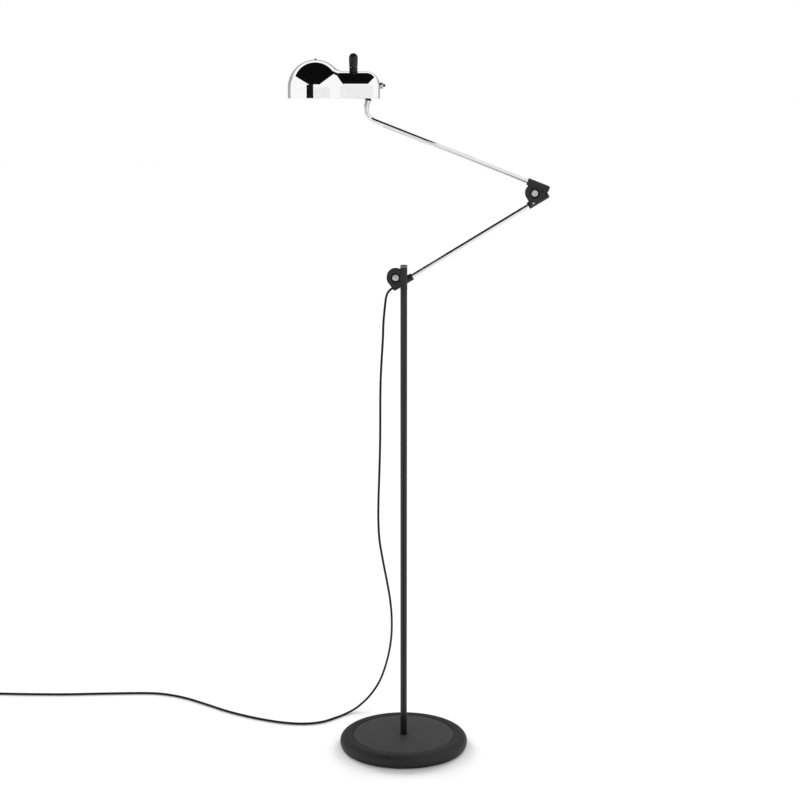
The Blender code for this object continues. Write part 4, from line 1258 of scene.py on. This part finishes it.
def switch_nut(at):
    """The ring nut on the tail's end, with a groove round its middle."""
    low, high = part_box("switch_nut")
    hole, outer = SWITCH_BUSH + HAIR, (high.z - low.z) / 2
    groove = outer - 0.0004
    profile = [(hole, 0.0066), (outer - 0.0005, 0.0066), (outer, 0.0058), (outer, 0.0044),
               (groove, 0.0041), (groove, 0.0038), (outer, 0.0035), (outer, HAIR),
               (hole, HAIR)]
    nut = turned("switch_nut_turned", profile, at, 64, closed=True, soft=0.0002)
    wear(nut, tube_plating(), "head", "head_chrome", "switch_nut")


def switch_body(at):
    """The switch's bush, bored for the button, and its wider body inside the tail."""
    bore, face, barrel = 0.00315, 0.0062, 0.0070
    floor, shoulder, back = -0.0125, -0.0028, -0.0165
    profile = [(0, floor), (bore, floor), (bore, face - 0.0004), (bore + 0.0004, face),
               (SWITCH_BUSH, face), (SWITCH_BUSH, shoulder), (barrel, shoulder),
               (barrel, back), (0, back)]
    body = turned("switch_body_turned", profile, at, 48, soft=0.0002)
    wear(body, joint_moulding(), "head", "joint_plastic", "switch_body")


def switch_button(at):
    """The push button, with a slightly domed face."""
    low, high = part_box("switch_button")
    radius, tip, inner = (high.z - low.z) / 2, high.x - TAIL_END_X, low.x - TAIL_END_X
    profile = [(0, tip - 0.0002), (radius * 0.6, tip), (radius - 0.0006, tip - 0.0002),
               (radius, tip - 0.0008), (radius, inner), (0, inner)]
    button = turned("switch_button_turned", profile, at, 40, soft=0.0003)
    wear(button, knob_moulding(), "button", "handle_plastic", "switch_button")


class FLOORLAMP_OT_switch(bpy.types.Operator):
    """Make the push switch's nut, bush and button"""

    bl_idname = "floorlamp.switch"
    bl_label = "Push switch"

    def execute(self, context):
        middle = middle_of("switch_nut")
        at = Matrix.Translation((TAIL_END_X, middle.y, middle.z)) @ ALONG_X
        switch_nut(at)
        switch_body(at)
        switch_button(at)
        return {"FINISHED"}


def stem_distance(p):
    """The stem on the tube's end: a flanged collar, a neck and the knuckle for the pins."""
    pin = (TILT_PIN - TUBE_END).length
    flange = rod_distance(p, 2, (0, 0, 0.00165), 0.0072, 0.00135, 0.0005)
    neck = rod_distance(p, 2, (0, 0, pin / 2 + 0.001), 0.0050, pin / 2 + 0.001, 0.0004)
    knuckle = rod_distance(p, 1, (0, 0, pin), 0.0070, 0.0082, 0.0006)
    body = joined(joined(flange, neck, 0.0016), knuckle, 0.0016)
    spigot = rod_distance(p, 2, (0, 0, -0.0045), 0.0037, 0.0055, 0.0003)
    body = np.minimum(body, spigot)
    body = without(body, rod_distance(p, 2, (0, 0, 0), 0.0026, 0.04, FINE_EDGE), 0.0004)
    holes = np.hypot(p[..., 0], p[..., 2] - pin) - 0.0023
    holes = np.maximum(holes, 0.0041 - np.abs(p[..., 1]))
    return without(body, holes, 0.0003)


class FLOORLAMP_OT_stem(bpy.types.Operator):
    """Make the stem that carries the head on the tube's end"""

    bl_idname = "floorlamp.stem"
    bl_label = "Head stem"

    def execute(self, context):
        made = moulded("swivel_stem_moulding", stem_distance, (-0.0090, -0.0096, -0.0115),
                       (0.0090, 0.0096, 0.0205), 0.00045, STUB_AT)
        wear(made, pole_paint(), "head_stem", "stem_paint", "swivel_stem")
        return {"FINISHED"}


def bulb_glass(at):
    """The round glass and the neck that it narrows to."""
    low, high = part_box("bulb")
    radius, neck = sizes().bulb_radius, 0.0088
    centre = low.x + radius
    ball = arc(0, centre, radius, pi / 2 - asin(neck / radius), -pi / 2, 36)
    profile = [(0, high.x), (0.0074, high.x), (0.0076, high.x - 0.003),
               (0.0079, high.x - 0.006), *ball[:-1], (0, low.x)]
    glass = turned("bulb_glass", profile, at, 72, soft=0.0002)
    wear(glass, opal_glass(), "head", "opal_glass", "bulb")


def bulb_thread(at):
    """The bulb's cap, rolled into a screw thread."""
    low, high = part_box("bulb_cap")
    contact, root, crest, turns = 0.0030, 0.0066, 0.0071, 5
    pitch = (high.x - 0.006 - low.x) / turns
    profile = [(0, high.x), (contact, high.x), (root, high.x - 0.0035)]
    for n in range(turns):
        near = high.x - 0.004 - n * pitch
        profile += [(crest, near - 0.25 * pitch), (root, near - 0.75 * pitch)]
    profile += [(0.0072, low.x), (0, low.x)]
    wear(turned("bulb_thread", profile, at, 48, soft=0.0005), brass_pin(), "head",
         "contact_brass", "bulb_cap")


def holder_body(at):
    """The lamp holder: a grooved barrel, bored for the bulb's cap."""
    low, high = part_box("lamp_holder")
    wide, back, mouth = (high.z - low.z) / 2, high.x, low.x
    groove, bore, floor = wide - 0.0008, 0.0078, low.x + 0.024
    profile = [(0, back), (0.0095, back), (wide, back - 0.002), (wide, back - 0.012),
               (groove, back - 0.0126), (groove, back - 0.0140), (wide, back - 0.0146),
               (wide, mouth + 0.001), (wide - 0.001, mouth), (bore, mouth), (bore, floor),
               (0, floor)]
    wear(turned("holder_body", profile, at, 64), holder_ceramic(), "head", "holder_moulding",
         "lamp_holder")


def heat_shield_dish():
    """The shallow dish over the bulb, with a hole for its screw."""
    low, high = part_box("heat_shield")
    curve, thick, hole = 0.050, 0.0008, 0.0018
    spread = asin((high.x - low.x) / 2 / curve)
    level = high.z - curve
    outer = arc(0, level, curve, pi / 2, pi / 2 - spread, 20)
    inner = arc(0, level, curve - thick, pi / 2 - spread, pi / 2, 20)
    profile = [(hole, level + curve), *outer[1:], *inner[:-1], (hole, level + curve - thick)]
    dish = turned("heat_shield_dished", profile, Matrix.Translation((DOME_X, 0, 0)), 72,
                  closed=True, soft=0)
    wear(dish, white_enamel(), "head", "shield_metal", "heat_shield")


class FLOORLAMP_OT_bulb(bpy.types.Operator):
    """Make the bulb, its cap, its holder and the heat shield in the dome"""

    bl_idname = "floorlamp.bulb"
    bl_label = "Bulb and holder"

    def execute(self, context):
        middle = middle_of("bulb")
        at = Matrix.Translation((0, middle.y, middle.z)) @ ALONG_X
        bulb_glass(at)
        bulb_thread(at)
        holder_body(at)
        heat_shield_dish()
        return {"FINISHED"}


class FLOORLAMP_OT_inner_parts(bpy.types.Operator):
    """Give every piece that keeps its own shape its finish"""

    bl_idname = "floorlamp.inner_parts"
    bl_label = "Inner parts"

    def execute(self, context):
        finishes = {
            "felt": felt(), "cast_weight": cast_iron(), "plated_steel": sheet_steel(),
            "bright_hardware": zinc_plate(), "joint_plastic": joint_moulding(),
            "handle_plastic": knob_moulding(), "stem_paint": pole_paint(),
            "pole_paint": pole_paint(), "cord_cover": cord_cover(), "base_disc": disc_paint(),
            "base_rim": rim_moulding(), "arm_chrome": tube_plating(),
            "head_chrome": head_plating(), "contact_brass": brass_pin(),
            "holder_moulding": holder_ceramic(), "opal_glass": opal_glass(),
            "shield_metal": white_enamel(),
        }
        for part in frame["record"]["subparts"]:
            piece = NODES[part["node"]]
            piece.data.materials.clear()
            piece.data.materials.append(finishes[part["material_slot"]])
        return {"FINISHED"}


class FLOORLAMP_PT_panel(bpy.types.Panel):
    """The lamp's sizes, colours and pieces in the sidebar"""

    bl_label = "Floor lamp"
    bl_space_type = "VIEW_3D"
    bl_region_type = "UI"
    bl_category = "Floor lamp"

    def draw(self, context):
        layout = self.layout
        for group in (sizes(), colours()):
            box = layout.box()
            for name in group.bl_rna.properties.keys():
                if name not in ("rna_type", "name"):
                    box.prop(group, name)
        for operator in OPERATORS:
            layout.operator(operator.bl_idname)


OPERATORS = (
    FLOORLAMP_OT_stage, FLOORLAMP_OT_inner_parts, FLOORLAMP_OT_cord, FLOORLAMP_OT_base,
    FLOORLAMP_OT_pole, FLOORLAMP_OT_clamps, FLOORLAMP_OT_hinge_bolts, FLOORLAMP_OT_arms,
    FLOORLAMP_OT_sleeve_ends, FLOORLAMP_OT_head, FLOORLAMP_OT_handle, FLOORLAMP_OT_switch,
    FLOORLAMP_OT_stem, FLOORLAMP_OT_bulb,
)
CLASSES = (LampSizes, LampColours, *OPERATORS, FLOORLAMP_PT_panel)


def register():
    for item in CLASSES:
        bpy.utils.register_class(item)
    bpy.types.Scene.floor_lamp_sizes = PointerProperty(type=LampSizes)
    bpy.types.Scene.floor_lamp_colours = PointerProperty(type=LampColours)


def unregister():
    del bpy.types.Scene.floor_lamp_colours
    del bpy.types.Scene.floor_lamp_sizes
    for item in reversed(CLASSES):
        bpy.utils.unregister_class(item)


def main():
    register()
    for operator in OPERATORS:
        group, name = operator.bl_idname.split(".")
        getattr(getattr(bpy.ops, group), name)()


if __name__ == "__main__":
    main()
